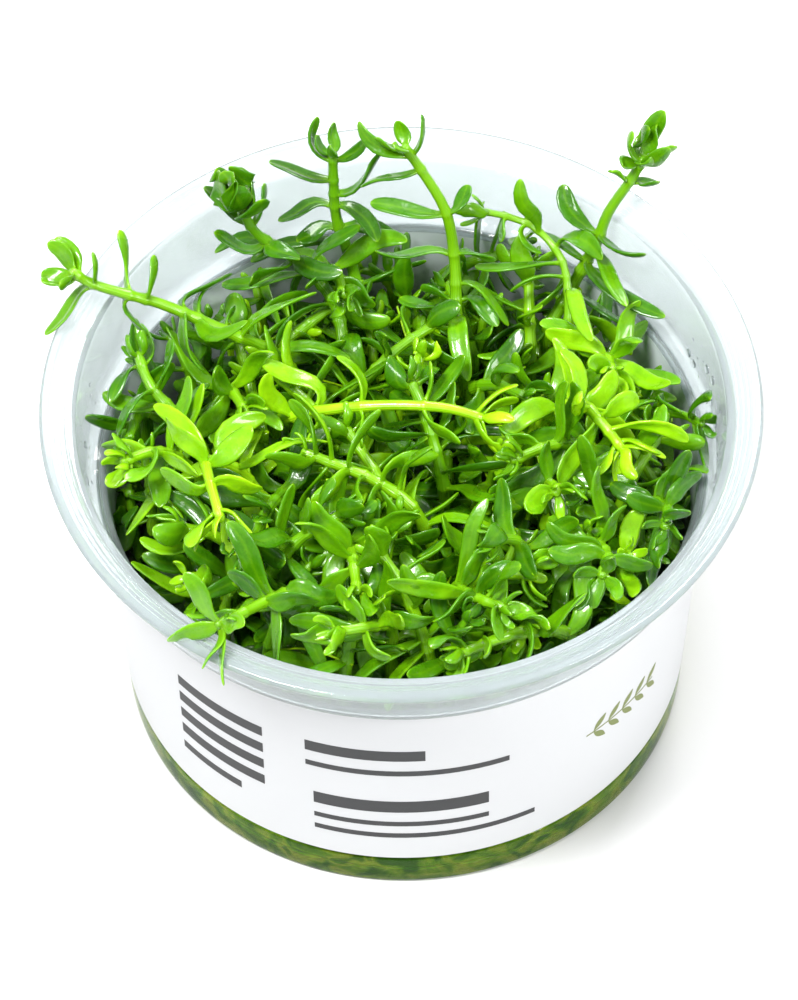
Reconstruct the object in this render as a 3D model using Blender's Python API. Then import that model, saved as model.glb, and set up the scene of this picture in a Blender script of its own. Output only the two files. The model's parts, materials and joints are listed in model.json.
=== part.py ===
"""Rotala stems growing in a clear round tub with a wide rim and a paper label.

The plant's stems stand on a tangle of older growth, which is rooted in clear nutrient jelly.
Sizes and places are in millimetres and become metres when a mesh is made. The origin is the
middle of the tub's flat underside, +Z is up and -Y is the side seen in front.
"""

import math
import random

import bpy
import numpy as np
from mathutils import Vector
from mathutils.bvhtree import BVHTree

MM = 0.001
SEED = 20

# Tub
TUB_HEIGHT = 60.0
RIM_RADIUS = 50.5
LIP_THICKNESS = 1.1
MOUTH_RADIUS = 45.4
MOUTH_HEIGHT = 58.1
COLLAR_FOOT_RADIUS = 44.1
COLLAR_FOOT_HEIGHT = 47.7
WALL = 0.9
BASE_RADIUS = 39.9
BASE_CORNER = 1.8
BAND_RADIUS = 40.5
BAND_TOP = 6.3
DRAFT = 0.0614
BODY_TOP = 46.5
FACETS = 40

# Label
LABEL_BOTTOM = 6.9
LABEL_TOP = 46.1
LABEL_THICKNESS = 0.25
LABEL_SEAM = math.radians(63)

# Contents
GAP = 0.3
JELLY_TOP = 7.6
TANGLE_MIDDLE = 41.0
TANGLE_SLOPE = 0.07
TANGLE_LUMP = 3.2
TANGLE_SECTORS = 22
TANGLE_RINGS = (7.0, 15.0, 23.0, 31.0, 38.0)
TANGLE_LEAF = 10.0
TANGLE_TRIES = 16

# Stems and leaves
STEM_FOOT_RADIUS = 1.0
STEM_TIP_RADIUS = 0.72
STEM_FACE = 0.85
STEM_STEP = 5.5
NODE_HALF_HEIGHT = 0.6
LEAF_THICKNESS = 0.75
LEAF_WIDTH = 3.1
LEAF_WIDEST = 0.65
LEAF_LEAD = 0.42
LEAF_LIFT = 0.16
LEAF_CLEAR = 1.8
CUTS_BY_HAND = (0.42, 0.8)

# Stems between the ones placed by hand
FILL_STEMS = 33
FILL_LEAVES = 8
FILL_LEAST = 4
FILL_TRIES = 120
FILL_REACH = 38.0
CANOPY_MIDDLE = 56.5
BACK_FALL = 0.18
FRONT_RISE = 0.05
FILL_CUTS = (0.62,)
GOLDEN_ANGLE = math.radians(137.5)

# Leaf colours, yellow-green to dark
GREENS = [(0.25, 0.5, 0.02), (0.1, 0.36, 0.02), (0.32, 0.56, 0.04), (0.05, 0.22, 0.02),
          (0.14, 0.42, 0.02)]

# Each stem that the photograph shows on its own: where it leaves the tangle, its middle line up
# to its tip, and its leaves as the distance back from the tip, the leaf's own tip and its width.
STEMS_BY_HAND = {
    "stem_far_left": {
        "foot": (-15, 17),
        "route": [(-18, 17.7, 49), (-24, 17.2, 54.5), (-33, 17.7, 60.5), (-38, 17.7, 63),
                  (-43, 18.2, 65), (-46, 18.7, 67.5)],
        "leaves": [(9.5, (-40, 24.2, 69), 2.5), (9.5, (-35.5, 14.7, 57), 2.2),
                   (12, (-35, 21.2, 67.5), 2.3), (4, (-50.2, 13.1, 60.8), 2.5),
                   (4, (-43, 20.2, 69.5), 2.4), (1.5, (-48.2, 22.2, 69.5), 2.2),
                   (1.5, (-50, 17.7, 66.5), 2.0), (18, (-25, 24.7, 59), 2.8),
                   (18, (-27, 9.7, 55), 2.8), (25, (-24, 22.7, 53), 2.8)],
    },
    "stem_bud": {
        "foot": (-8, 22),
        "route": [(-9.5, 27.7, 48.5), (-15, 31.2, 54), (-20, 30.7, 60), (-22.5, 32.2, 65)],
        "leaves": [(1.5, (-23.5, 34.2, 71), 3.2), (1.5, (-20.5, 30.2, 70), 3.0),
                   (4, (-27, 35.2, 65.5), 2.4), (4, (-18.8, 34.2, 67), 3.0),
                   (8, (-26, 30.2, 61), 2.6), (8, (-14, 26.7, 59), 2.8),
                   (14, (-21, 25.7, 56), 2.8), (14, (-8, 26.2, 57.5), 2.6)],
    },
    "stem_twin": {
        "foot": (-5, 30),
        "route": [(-7, 34.2, 50), (-8.7, 35.7, 57), (-9, 36.7, 63), (-9, 38.2, 69)],
        "leaves": [(1.5, (-11.3, 41, 73), 2.0), (1.5, (-4.5, 38, 71.5), 2.2),
                   (5, (-17.8, 38.7, 67), 3.0), (7.5, (-1.8, 39, 68.5), 3.0),
                   (9.8, (-17, 33.2, 60), 2.6), (9.8, (-3, 30.7, 58), 2.8),
                   (14, (-14.5, 32.7, 56), 2.6), (14, (0.5, 36.7, 52), 2.6)],
    },
    "stem_tall": {
        "foot": (9, 17),
        "route": [(8.2, 22.2, 49), (8, 27.7, 57), (6.8, 30.2, 65), (3.5, 32.7, 71), (1, 33.7, 75.5)],
        "leaves": [(2, (3.8, 36.2, 80), 2.2), (2, (-5.2, 37.7, 76), 2.0),
                   (5, (-5.2, 32.2, 68.5), 2.4), (13, (10, 33.7, 66.5), 2.4),
                   (13, (-3.8, 32.2, 64.5), 3.0), (20, (-3, 27.7, 61), 2.8),
                   (20, (14, 28.7, 56), 2.8), (27, (3, 25.7, 53), 2.6),
                   (27, (14, 19.7, 52), 2.6)],
    },
    "stem_right": {
        "foot": (21, 25),
        "route": [(25, 29.2, 49), (28.3, 31.2, 56), (30, 32.7, 61), (33, 34.2, 66), (35, 35.2, 70)],
        "leaves": [(1.5, (35.8, 37.2, 74), 2.4), (1.5, (32, 32.7, 71.5), 2.2),
                   (4.5, (30.5, 33.7, 69), 2.2), (4.5, (37, 33.2, 67.5), 2.6),
                   (14.5, (24.3, 36.5, 63), 2.8), (14.5, (35, 25.9, 61.2), 2.6),
                   (19.5, (38, 19.2, 55.5), 2.6), (19.5, (19.5, 34.2, 55), 2.6),
                   (25, (33, 20.7, 50), 2.6)],
    },
    "stem_thin": {
        "foot": (23, 16), "girth": 0.68,
        "route": [(24, 21.7, 50), (23.5, 27.7, 55.5), (20, 32, 58), (16, 33.7, 59), (11.5, 34.2, 60)],
        "leaves": [(7, (18, 37.2, 61.5), 2.2), (7, (20.5, 29.2, 56.5), 2.4),
                   (4, (14.5, 30.2, 58), 2.2), (1.2, (7.6, 33, 62), 1.8),
                   (12.5, (29, 25.7, 59), 2.6), (17, (30, 19.7, 54), 2.6), (17, (16, 24.7, 53), 2.6)],
    },
    "stem_over_rim": {
        "foot": (-12, -23),
        "route": [(-15, -27.3, 53.5), (-18, -31.3, 57.5), (-22, -35.8, 60.5), (-25.5, -39.3, 62.5)],
        "leaves": [(2, (-29.2, -45.8, 61), 2.4), (2, (-24, -40.8, 66), 2.4),
                   (5.5, (-19.5, -45.3, 60.6), 2.8), (5.5, (-29.5, -37.8, 63), 2.4),
                   (10, (-24, -29.8, 61.5), 2.8), (10, (-11.5, -32.8, 58), 2.8),
                   (15, (-9, -29.3, 55), 2.8), (15, (-22, -23.3, 55), 2.8)],
    },
    "stem_bright": {
        "foot": (-18, 9),
        "route": [(-15, 5.7, 50), (-9.5, 3.7, 54), (-2, 2.7, 56), (6, 1.7, 56.5), (12, 0.7, 55)],
        "leaves": [(1.5, (17, -2.8, 53), 2.6), (1.5, (16.5, 4.7, 57), 2.6),
                   (9, (4, 7.2, 60), 2.8), (9, (8, -5.3, 57.5), 2.6),
                   (18, (-9, 9.7, 58), 2.8), (18, (-5, -4.3, 56), 2.8),
                   (25, (-14, -2.3, 53), 2.8), (25, (-20, 12.7, 55), 2.8)],
    },
    "stem_right_bright": {
        "foot": (18, 5),
        "route": [(21, 4.2, 51), (25, 1.7, 57), (28, -2.8, 58), (31, -6.3, 56)],
        "leaves": [(1.5, (26.5, -9.3, 55), 2.6), (1.5, (36, -7.3, 57), 2.6),
                   (6, (22.6, -10.3, 54), 3.0), (6, (33.5, 0.2, 58), 2.8),
                   (11, (22.5, 7.2, 62), 2.8), (11, (30, 5.7, 59), 2.8),
                   (16, (15, -1.3, 54), 2.8), (16, (28, 9.7, 53), 2.6)],
    },
    "stem_centre": {
        "foot": (4, -13),
        "route": [(1, -11.3, 51.5), (-4, -8.8, 54), (-9, -7.3, 55.5), (-14, -5.8, 57)],
        "leaves": [(2, (-19, -8.8, 59.5), 2.6), (2, (-16, -0.3, 61), 2.6),
                   (7, (-13, -13.3, 56), 2.8), (7, (-3, -1.8, 61), 2.6),
                   (12, (-6, -16.3, 54), 2.8), (12, (5, -5.3, 55), 2.6)],
    },
    "stem_left_bright": {
        "foot": (-19, -6),
        "route": [(-23, -5.3, 52), (-27, -7.3, 57), (-26.5, -13.3, 60), (-25, -19.3, 59)],
        "leaves": [(1.5, (-29, -24.3, 59.5), 2.6), (1.5, (-21, -24.3, 57), 2.6),
                   (6, (-33.5, -11.3, 60.8), 2.8), (6, (-19.5, -12.8, 58), 2.8),
                   (11, (-32.5, -2.3, 60.5), 2.6), (11, (-20.5, -4.3, 61), 2.8),
                   (17, (-33, -8.3, 54), 2.8), (17, (-19, 1.7, 55), 2.8)],
    },
    "stem_left_droop": {
        "foot": (-27, 2),
        "route": [(-30, 3.7, 50.5), (-35, 7.7, 54.5), (-37, 12.2, 57)],
        "leaves": [(2, (-41, 6.2, 53.5), 2.4), (2, (-37, 18.2, 56), 2.4),
                   (6, (-39.5, 0.7, 52.5), 2.6), (6, (-32.5, 12.7, 59), 2.6),
                   (11, (-37, -0.3, 50), 2.6), (11, (-27, 8.7, 54), 2.6)],
    },
    "stem_front": {
        "foot": (6, -26),
        "route": [(7, -26.3, 52), (9, -30.3, 56), (14, -34.3, 58)],
        "leaves": [(1.5, (19.5, -37.3, 57.5), 2.6), (1.5, (13, -39.8, 58.5), 2.6),
                   (5.5, (4, -36.3, 58), 2.8), (5.5, (15, -27.3, 59), 2.8),
                   (9.5, (1, -28.3, 56), 2.6), (9.5, (12, -22.3, 56), 2.6)],
    },
    "stem_front_left": {
        "foot": (-2, -32),
        "route": [(-2, -32.3, 52), (-5, -35.3, 56), (-10, -37.3, 57.5)],
        "leaves": [(1.5, (-15.5, -37.3, 57.5), 2.6), (1.5, (-10, -41.3, 59), 2.6),
                   (5, (-9, -30.3, 59), 2.8), (5, (-2, -40.3, 56), 2.8),
                   (9, (4, -33.3, 55), 2.6), (9, (-7, -28.3, 55), 2.6)],
    },
    "stem_front_right": {
        "foot": (24, -17),
        "route": [(26, -18.3, 51.5), (28, -23.3, 55), (27, -28.3, 57)],
        "leaves": [(1.5, (32, -32.3, 56), 2.6), (1.5, (23, -33.3, 56.5), 2.6),
                   (5, (20, -23.3, 57), 2.8), (5, (34, -25.3, 55.5), 2.8),
                   (9, (31, -16.3, 57), 2.6), (9, (20, -16.3, 55), 2.6)],
    },
    "stem_right_edge": {
        "foot": (33, -10),
        "route": [(34, -11.3, 51), (36.5, -15.3, 55), (36, -20.3, 57)],
        "leaves": [(1.5, (34, -25.8, 56.5), 2.4), (1.5, (39.5, -19.3, 59), 2.4),
                   (5, (31, -15.3, 58), 2.6), (5, (42, -10.8, 56), 2.6),
                   (9, (29, -10.3, 54), 2.6), (9, (40, -7.3, 53), 2.6)],
    },
}


def body_radius(z):
    """Outer radius of the tub's tapered body at height z."""
    return BASE_RADIUS + DRAFT * (z - BASE_CORNER)


def inner_wall():
    """The tub's inner side from the floor up to the mouth, as (radius, height)."""
    return [
        (body_radius(BASE_CORNER) - 2.1, WALL + 0.1),
        (body_radius(2.4) - WALL - 0.1, 2.6),
        (body_radius(BODY_TOP) - WALL, BODY_TOP + 0.6),
        (COLLAR_FOOT_RADIUS, COLLAR_FOOT_HEIGHT),
        (MOUTH_RADIUS, MOUTH_HEIGHT),
    ]


def inner_radius(z):
    """Inner radius of the tub at height z, at the middle of a facet."""
    wall = inner_wall()
    radii = [point[0] for point in wall]
    heights = [point[1] for point in wall]
    return float(np.interp(z, heights, radii)) * math.cos(math.pi / FACETS)


def flange_top(radius):
    """Height of the rim's upper face at a radius."""
    slope = (TUB_HEIGHT - MOUTH_HEIGHT) / (RIM_RADIUS - MOUTH_RADIUS)
    return MOUTH_HEIGHT + slope * (radius - MOUTH_RADIUS)


def clears_tub(point):
    """True where a point is inside the tub's mouth, over its rim or past its rim."""
    radius = math.hypot(point[0], point[1])
    inside = radius < inner_radius(point[2]) - GAP
    over = point[2] > flange_top(min(radius, RIM_RADIUS)) + GAP
    return inside or over or radius > RIM_RADIUS + GAP


def ring(radius, z, count, turn=0.0):
    """One ring of points round the Z axis."""
    angles = [turn + 2 * math.pi * i / count for i in range(count)]
    return [(radius * math.cos(a), radius * math.sin(a), z) for a in angles]


def bands(rings, count):
    """Quads between successive rings, facing out when the rings run up the outer side."""
    faces = []
    for row in range(rings - 1):
        for i in range(count):
            j = (i + 1) % count
            low = row * count
            high = low + count
            faces.append((low + i, low + j, high + j, high + i))
    return faces


def lathe(profile, count):
    """Closed body turned from a profile that runs up the outside and down the inside."""
    points = [point for radius, z in profile for point in ring(radius, z, count)]
    faces = bands(len(profile), count)
    last = (len(profile) - 1) * count
    points += [(0.0, 0.0, profile[0][1]), (0.0, 0.0, profile[-1][1])]
    under, over = len(points) - 2, len(points) - 1
    for i in range(count):
        j = (i + 1) % count
        faces.append((j, i, under))
        faces.append((last + i, last + j, over))
    return points, faces


def tub_mesh():
    """Floor, tapered body, stepped collar and sloping rim in one clear wall."""
    outer = [
        (BAND_RADIUS - 0.8, 0.0),
        (BAND_RADIUS - 0.15, 0.5),
        (BAND_RADIUS, BASE_CORNER),
        (BAND_RADIUS + 0.1, BAND_TOP - 0.3),
        (body_radius(BAND_TOP), BAND_TOP),
        (body_radius(BODY_TOP), BODY_TOP),
        (COLLAR_FOOT_RADIUS + WALL, COLLAR_FOOT_HEIGHT - 0.5),
        (MOUTH_RADIUS + WALL + 0.2, MOUTH_HEIGHT - LIP_THICKNESS),
        (RIM_RADIUS - 0.2, TUB_HEIGHT - LIP_THICKNESS),
        (RIM_RADIUS, TUB_HEIGHT - 0.5),
        (RIM_RADIUS - 0.5, TUB_HEIGHT),
    ]
    inner = [(MOUTH_RADIUS + 0.9, MOUTH_HEIGHT + 0.3)] + inner_wall()[::-1]
    return lathe(outer + inner, FACETS)


def label_mesh():
    """Paper band round the body, open by one facet at its seam."""
    reach = GAP + LABEL_THICKNESS
    corners = [
        (body_radius(LABEL_BOTTOM) + GAP, LABEL_BOTTOM),
        (body_radius(LABEL_BOTTOM) + reach, LABEL_BOTTOM),
        (body_radius(LABEL_TOP) + reach, LABEL_TOP),
        (body_radius(LABEL_TOP) + GAP, LABEL_TOP),
    ]
    turn = 2 * math.pi * round(LABEL_SEAM * FACETS / (2 * math.pi)) / FACETS
    points = []
    for i in range(FACETS):
        angle = turn + 2 * math.pi * i / FACETS
        points += [(r * math.cos(angle), r * math.sin(angle), z) for r, z in corners]
    faces = [(0, 1, 2, 3)]
    for i in range(FACETS - 1):
        low = 4 * i
        for k in range(4):
            m = (k + 1) % 4
            faces.append((low + k, low + 4 + k, low + 4 + m, low + m))
    end = 4 * (FACETS - 1)
    faces.append((end + 3, end + 2, end + 1, end))
    return points, faces


def jelly_mesh():
    """Clear nutrient jelly on the tub's floor."""
    floor = WALL + 0.1 + GAP
    profile = [
        (inner_radius(floor) - GAP - 0.2, floor),
        (inner_radius(2.8) - GAP, 2.8),
        (inner_radius(JELLY_TOP) - GAP, JELLY_TOP),
    ]
    return lathe(profile, FACETS // 2)


def tangle_height(x, y):
    """Mean height of the tangle's top: higher towards the front."""
    return TANGLE_MIDDLE - TANGLE_SLOPE * y


def tangle_mesh(rng):
    """Older stems and leaves that fill the tub up to the younger stems, as one lumpy mound."""
    bottom = JELLY_TOP + GAP
    shoulder = inner_radius(TANGLE_MIDDLE) - GAP - 0.6
    points = [(0.0, 0.0, bottom)]
    points += ring(inner_radius(bottom) - GAP - 0.3, bottom, TANGLE_SECTORS)
    for x, y, _ in ring(shoulder, 0.0, TANGLE_SECTORS):
        points.append((x, y, tangle_height(x, y) - 4.0))
    for row, radius in enumerate(reversed(TANGLE_RINGS)):
        for x, y, _ in ring(radius, 0.0, TANGLE_SECTORS, 0.14 * (row % 2)):
            rise = rng.uniform(-TANGLE_LUMP, TANGLE_LUMP)
            points.append((x, y, tangle_height(x, y) + rise))
    points.append((0.0, 0.0, TANGLE_MIDDLE + TANGLE_LUMP))
    rows = len(TANGLE_RINGS) + 2
    faces = [tuple(1 + i for i in face) for face in bands(rows, TANGLE_SECTORS)]
    last = 1 + (rows - 1) * TANGLE_SECTORS
    for i in range(TANGLE_SECTORS):
        j = (i + 1) % TANGLE_SECTORS
        faces.append((1 + j, 1 + i, 0))
        faces.append((last + i, last + j, len(points) - 1))
    return points, faces


def split(faces):
    """Four-sided faces as two triangles each, so that uneven ones bend along a known line."""
    halves = []
    for face in faces:
        halves += [face] if len(face) == 3 else [face[:3], (face[0], face[2], face[3])]
    return halves


def nearest_turn(points, face, foot):
    """A patch's corners, listed from the one that lies nearest to the leaf foot's first."""
    turned = [[face[(i + k) % 4] for i in range(4)] for k in range(4)]
    return min(turned, key=lambda corners: sum(
        np.linalg.norm(np.array(points[corner]) - foot[i]) for i, corner in enumerate(corners)))


def raised_patch(points, face, leaf):
    """The faces that rise from a patch's edge to the foot of its leaf."""
    foot = leaf.section(0.0)
    corners = [points[corner] for corner in nearest_turn(points, face, foot)]
    return corners + list(foot), split(side_faces(range(4), range(4, 8)))


def tangle_leaves(rng, tangle, space):
    """Leaves that stand up from every other patch of the tangle's top, where there is room."""
    points, faces = tangle
    ground = Space()
    ground.add((points, split(faces)))
    leaves = {}
    own = Space()
    for number in range(TANGLE_SECTORS, TANGLE_SECTORS * (len(TANGLE_RINGS) + 1)):
        if (number + number // TANGLE_SECTORS) % 2:
            continue
        corners = np.array([points[i] for i in faces[number]])
        normal = np.cross(corners[2] - corners[0], corners[3] - corners[1])
        normal = normal / np.linalg.norm(normal)
        base = corners.mean(axis=0) + 0.3 * normal
        for _ in range(TANGLE_TRIES):
            turn = rng.uniform(0.0, 2 * math.pi)
            lean = np.array([math.cos(turn), math.sin(turn), 0.0])
            tip = base + TANGLE_LEAF * rng.uniform(0.7, 1.1) * (0.75 * lean + 0.65 * normal)
            leaf = Leaf(base, normal, 0.3 * normal - lean, tip, LEAF_WIDTH * rng.uniform(0.8, 1.0))
            bare = leaf.probe(FILL_CUTS, 0.08)
            if own.meets(bare) or ground.meets(bare):
                continue
            if space.meets(raised_patch(points, faces[number], leaf)):
                continue
            if leaf_fits(space, own, leaf, FILL_CUTS):
                leaves[number] = leaf
                own.add(leaf.probe(FILL_CUTS, 0.0))
                break
    return leaves


def leafy_tangle(tangle, leaves):
    """The mound with its leaves drawn out of its top."""
    points, faces = list(tangle[0]), []
    for number, face in enumerate(tangle[1]):
        leaf = leaves.get(number)
        if leaf is None:
            faces += split([face])
            continue
        foot = leaf.section(0.0)
        inner = range(len(points), len(points) + 4)
        points += foot
        faces += split(side_faces(nearest_turn(points, face, foot), inner))
        blade = leaf.shell(inner, len(points), FILL_CUTS)
        points += blade[0]
        faces += blade[1]
    return points, faces


def smooth_route(points, per_span=6):
    """Points along a Catmull-Rom curve through the given ones."""
    p = np.array(points, float)
    p = np.vstack([2 * p[0] - p[1], p, 2 * p[-1] - p[-2]])
    out = []
    for i in range(1, len(p) - 2):
        for step in range(per_span):
            t = step / per_span
            out.append(0.5 * (2 * p[i] + (p[i + 1] - p[i - 1]) * t
                              + (2 * p[i - 1] - 5 * p[i] + 4 * p[i + 1] - p[i + 2]) * t ** 2
                              + (3 * p[i] - p[i - 1] - 3 * p[i + 1] + p[i + 2]) * t ** 3))
    out.append(p[-2])
    return np.array(out)


class Stem:
    """A stem's middle line with a frame that turns no more than the line does."""

    def __init__(self, route, phase, girth=1.0):
        self.girth = girth
        self.line = smooth_route(route)
        steps = np.linalg.norm(np.diff(self.line, axis=0), axis=1)
        self.lengths = np.concatenate([[0.0], np.cumsum(steps)])
        self.length = float(self.lengths[-1])
        tangents = np.gradient(self.line, axis=0)
        self.tangents = tangents / np.linalg.norm(tangents, axis=1)[:, None]
        side = np.cross(self.tangents[0], (math.cos(phase), math.sin(phase), 0.0))
        sides = []
        for tangent in self.tangents:
            side = side - tangent * side.dot(tangent)
            side = side / np.linalg.norm(side)
            sides.append(side)
        self.sides = np.array(sides)

    def at(self, s):
        """Point, tangent and side direction at arc length s."""
        blend = []
        for rows in (self.line, self.tangents, self.sides):
            blend.append(np.array([np.interp(s, self.lengths, rows[:, k]) for k in range(3)]))
        point, tangent, side = blend
        tangent = tangent / np.linalg.norm(tangent)
        side = side - tangent * side.dot(tangent)
        return point, tangent, side / np.linalg.norm(side)

    def leaf(self, s, k, tip, width):
        """A leaf that grows from face k at arc length s."""
        point, tangent, _ = self.at(s)
        out = self.outward(s, k)
        made = Leaf(point + out * self.radius(s) * STEM_FACE, out, tangent, tip, width)
        made.place = (s, k)
        return made

    def radius(self, s):
        """Stem radius at arc length s."""
        share = s / self.length
        return self.girth * (STEM_FOOT_RADIUS + (STEM_TIP_RADIUS - STEM_FOOT_RADIUS) * share)

    def outward(self, s, k):
        """Direction of the stem's face k at arc length s."""
        _, tangent, side = self.at(s)
        other = np.cross(tangent, side)
        return (side, other, -side, -other)[k]

    def corners(self, s, grow=0.0):
        """The stem's four corners at arc length s."""
        point, tangent, side = self.at(s)
        other = np.cross(tangent, side)
        reach = (self.radius(s) + grow) * 0.85
        return [point + reach * (a * side + b * other) for a, b in ((1, -1), (1, 1), (-1, 1), (-1, -1))]


def side_faces(ends, fresh):
    """Quads from four corners to the next four."""
    return [(ends[i], ends[(i + 1) % 4], fresh[(i + 1) % 4], fresh[i]) for i in range(4)]


class Leaf:
    """A leaf: its curved middle line from a base that it leaves squarely, and its upper side."""

    def __init__(self, base, out, upper, tip, width):
        self.base, self.out, self.upper, self.width = base, out, upper, width
        self.tip = np.array(tip, float)
        reach = np.linalg.norm(self.tip - base)
        self.middle = base + reach * (LEAF_LEAD * out + LEAF_LIFT * upper)

    def at(self, t):
        """Point on the middle line at t, with the directions along, across and up."""
        point = (1 - t) ** 2 * self.base + 2 * t * (1 - t) * self.middle + t ** 2 * self.tip
        along = (1 - t) * (self.middle - self.base) + t * (self.tip - self.middle)
        along = along / np.linalg.norm(along)
        up = self.upper - 0.1 * self.out
        up = up - along * up.dot(along)
        up = up / np.linalg.norm(up)
        return point, along, np.cross(up, along), up

    def section(self, t, grow=0.0):
        """The blade's four corners at t: low left, low right, high right, high left."""
        point, _, across, up = self.at(t)
        share = math.sin(0.5 * math.pi * min(0.25 + t / LEAF_WIDEST, 1.0))
        half = across * (0.5 * self.width * share + grow)
        rise = up * (0.5 * LEAF_THICKNESS + grow)
        return [point - half - rise, point + half - rise, point + half + rise, point - half + rise]

    def shell(self, ends, number, cuts, grow=0.0):
        """Points, numbered from number on, and faces from the four corners ends to the tip."""
        points = []
        faces = []
        for t in cuts:
            points += self.section(t, grow)
            fresh = range(number + len(points) - 4, number + len(points))
            faces += side_faces(ends, fresh)
            ends = fresh
        points.append(self.tip + self.at(1.0)[1] * grow)
        tip = number + len(points) - 1
        faces += [(ends[i], ends[(i + 1) % 4], tip) for i in range(4)]
        return points, faces

    def probe(self, cuts, grow):
        """The leaf alone, grown by a margin, as a closed shell."""
        start = self.section(0.1, grow)
        points, faces = self.shell(range(4), 4, cuts, grow)
        return start + points, [(3, 2, 1, 0)] + faces


def stem_probe(stem, low, high, grow):
    """A stretch of stem alone, grown by a margin, as a closed shell."""
    stations = np.linspace(low, high, max(2, int((high - low) / 2.5) + 1))
    points = [corner for s in stations for corner in stem.corners(s, grow)]
    last = len(points) - 4
    return points, bands(len(stations), 4) + [(3, 2, 1, 0), (last, last + 1, last + 2, last + 3)]


def surface_tree(points, faces):
    """Search tree of a shell's surface."""
    return BVHTree.FromPolygons([Vector(point) for point in points], faces)


class Space:
    """The surfaces placed so far, so that each new piece keeps clear of them."""

    def __init__(self):
        self.lows, self.highs, self.trees = [], [], []

    def add(self, shell):
        grid = np.array(shell[0])
        self.lows.append(grid.min(axis=0))
        self.highs.append(grid.max(axis=0))
        self.trees.append(surface_tree(*shell))

    def meets(self, shell):
        """True when a shell crosses any placed surface."""
        if not self.trees:
            return False
        grid = np.array(shell[0])
        near = (np.array(self.lows) < grid.max(axis=0)) & (np.array(self.highs) > grid.min(axis=0))
        tree = surface_tree(*shell)
        return any(tree.overlap(self.trees[index]) for index in np.flatnonzero(near.all(axis=1)))


def leaf_fits(space, own, leaf, cuts):
    """True when a leaf clears the tub, the other stems and the rest of its own stem."""
    grown = leaf.probe(cuts, GAP)
    spine = [leaf.at(t)[0] for t in (0.3, 0.5, 0.7, 0.9)]
    if not all(clears_tub(point) for point in grown[0][4:] + spine):
        return False
    bare = leaf.probe(cuts, 0.08)
    return not space.meets(grown) and not own.meets(bare)


def plant_stem(space, route, wanted, cuts, least, phase=0.0, girth=1.0):
    """A stem with the leaves of it that fit, or nothing where it or too many of them don't."""
    stem = Stem(route, phase, girth)
    grown = stem_probe(stem, 0.0, stem.length, GAP)
    if not all(clears_tub(point) for point in grown[0]) or space.meets(grown):
        return None
    leaves = []
    shells = []
    for s, k, width, tips in wanted(stem):
        own = Space()
        for low, high in ((0.0, s - LEAF_CLEAR), (s + LEAF_CLEAR, stem.length)):
            if high - low > 1.0:
                own.add(stem_probe(stem, low, high, 0.0))
        for shell in shells:
            own.add(shell)
        for tip in tips:
            leaf = stem.leaf(s, k, tip, width)
            if leaf_fits(space, own, leaf, cuts):
                leaves.append(leaf)
                shells.append(leaf.probe(cuts, 0.0))
                break
    shell = stem_mesh(stem, leaves, cuts)
    if len(leaves) < least or space.meets(shell):
        return None
    return shell


def leaves_by_hand(listed, rng):
    """Leaves whose tips were seen, each on the free face of its node that looks most its way."""
    def wanted(stem):
        taken = set()
        for back, tip, width in listed:
            s = stem.length - back
            way = np.array(tip) - stem.at(s)[0]
            faces = [k for k in range(4) if (s, k) not in taken]
            k = max(faces, key=lambda face: way.dot(stem.outward(s, face)))
            taken.add((s, k))
            jitter = [[rng.uniform(-1.5, 1.5) for _ in range(3)] for _ in range(8)]
            yield s, k, width, [tip] + [np.array(tip) + shift for shift in jitter]
    return wanted


def leaves_by_rule(rng, most):
    """Opposite pairs, each turned a quarter from the last, closer and shorter to the stem's tip."""
    def wanted(stem):
        s = stem.length - 1.5
        for node in range(most // 2):
            length = min(6.0 + 2.4 * node, 11.5)
            rise = max(0.9 - 0.28 * node, 0.15)
            for k in (node % 2, node % 2 + 2):
                tips = []
                for _ in range(14):
                    way = stem.outward(s, k) * math.cos(rise) + stem.at(s)[1] * math.sin(rise)
                    way = way + np.array([rng.uniform(-0.45, 0.45) for _ in range(3)])
                    way = way / np.linalg.norm(way) * length * rng.uniform(0.75, 1.12)
                    tips.append(stem.at(s)[0] + way)
                yield s, k, LEAF_WIDTH * rng.uniform(0.75, 1.05), tips
            s -= 2.6 + 1.1 * node + rng.uniform(0.0, 1.2)
            if s < 4.0:
                return
    return wanted


def stem_mesh(stem, leaves, cuts):
    """One closed body: a four-sided stem whose faces grow out into its leaves."""
    half = NODE_HALF_HEIGHT
    stations = [0.0]
    for s in sorted({leaf.place[0] for leaf in leaves}):
        spans = max(1, round((s - half - stations[-1]) / STEM_STEP))
        stations += list(np.linspace(stations[-1], s - half, spans + 1))[1:] + [s + half]
    points = [corner for s in stations for corner in stem.corners(s)]
    grown = {(stations.index(leaf.place[0] + half) - 1, leaf.place[1]): leaf for leaf in leaves}
    apex = len(points)
    points.append(stem.at(stem.length)[0] + 0.5 * stem.at(stem.length)[1])
    faces = [(3, 2, 1, 0)] + [(apex - 4 + k, apex - 4 + (k + 1) % 4, apex) for k in range(4)]
    for row in range(len(stations) - 1):
        for k, face in enumerate(side_faces(range(4 * row, 4 * row + 4), range(4 * row + 4, 4 * row + 8))):
            leaf = grown.get((row, k))
            if leaf is None:
                faces.append(face)
                continue
            blade = leaf.shell(face, len(points), cuts)
            points += blade[0]
            faces += blade[1]
    return points, faces


def canopy(x, y):
    """Height that the stems' tips reach over a place: lower towards the back wall."""
    return CANOPY_MIDDLE - BACK_FALL * max(y, 0.0) + FRONT_RISE * max(-y, 0.0)


def standing(x, y, z):
    """The foot of a stem, which leaves the tangle upright."""
    return [(x, y, z), (x, y, z + 2.0)]


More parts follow.
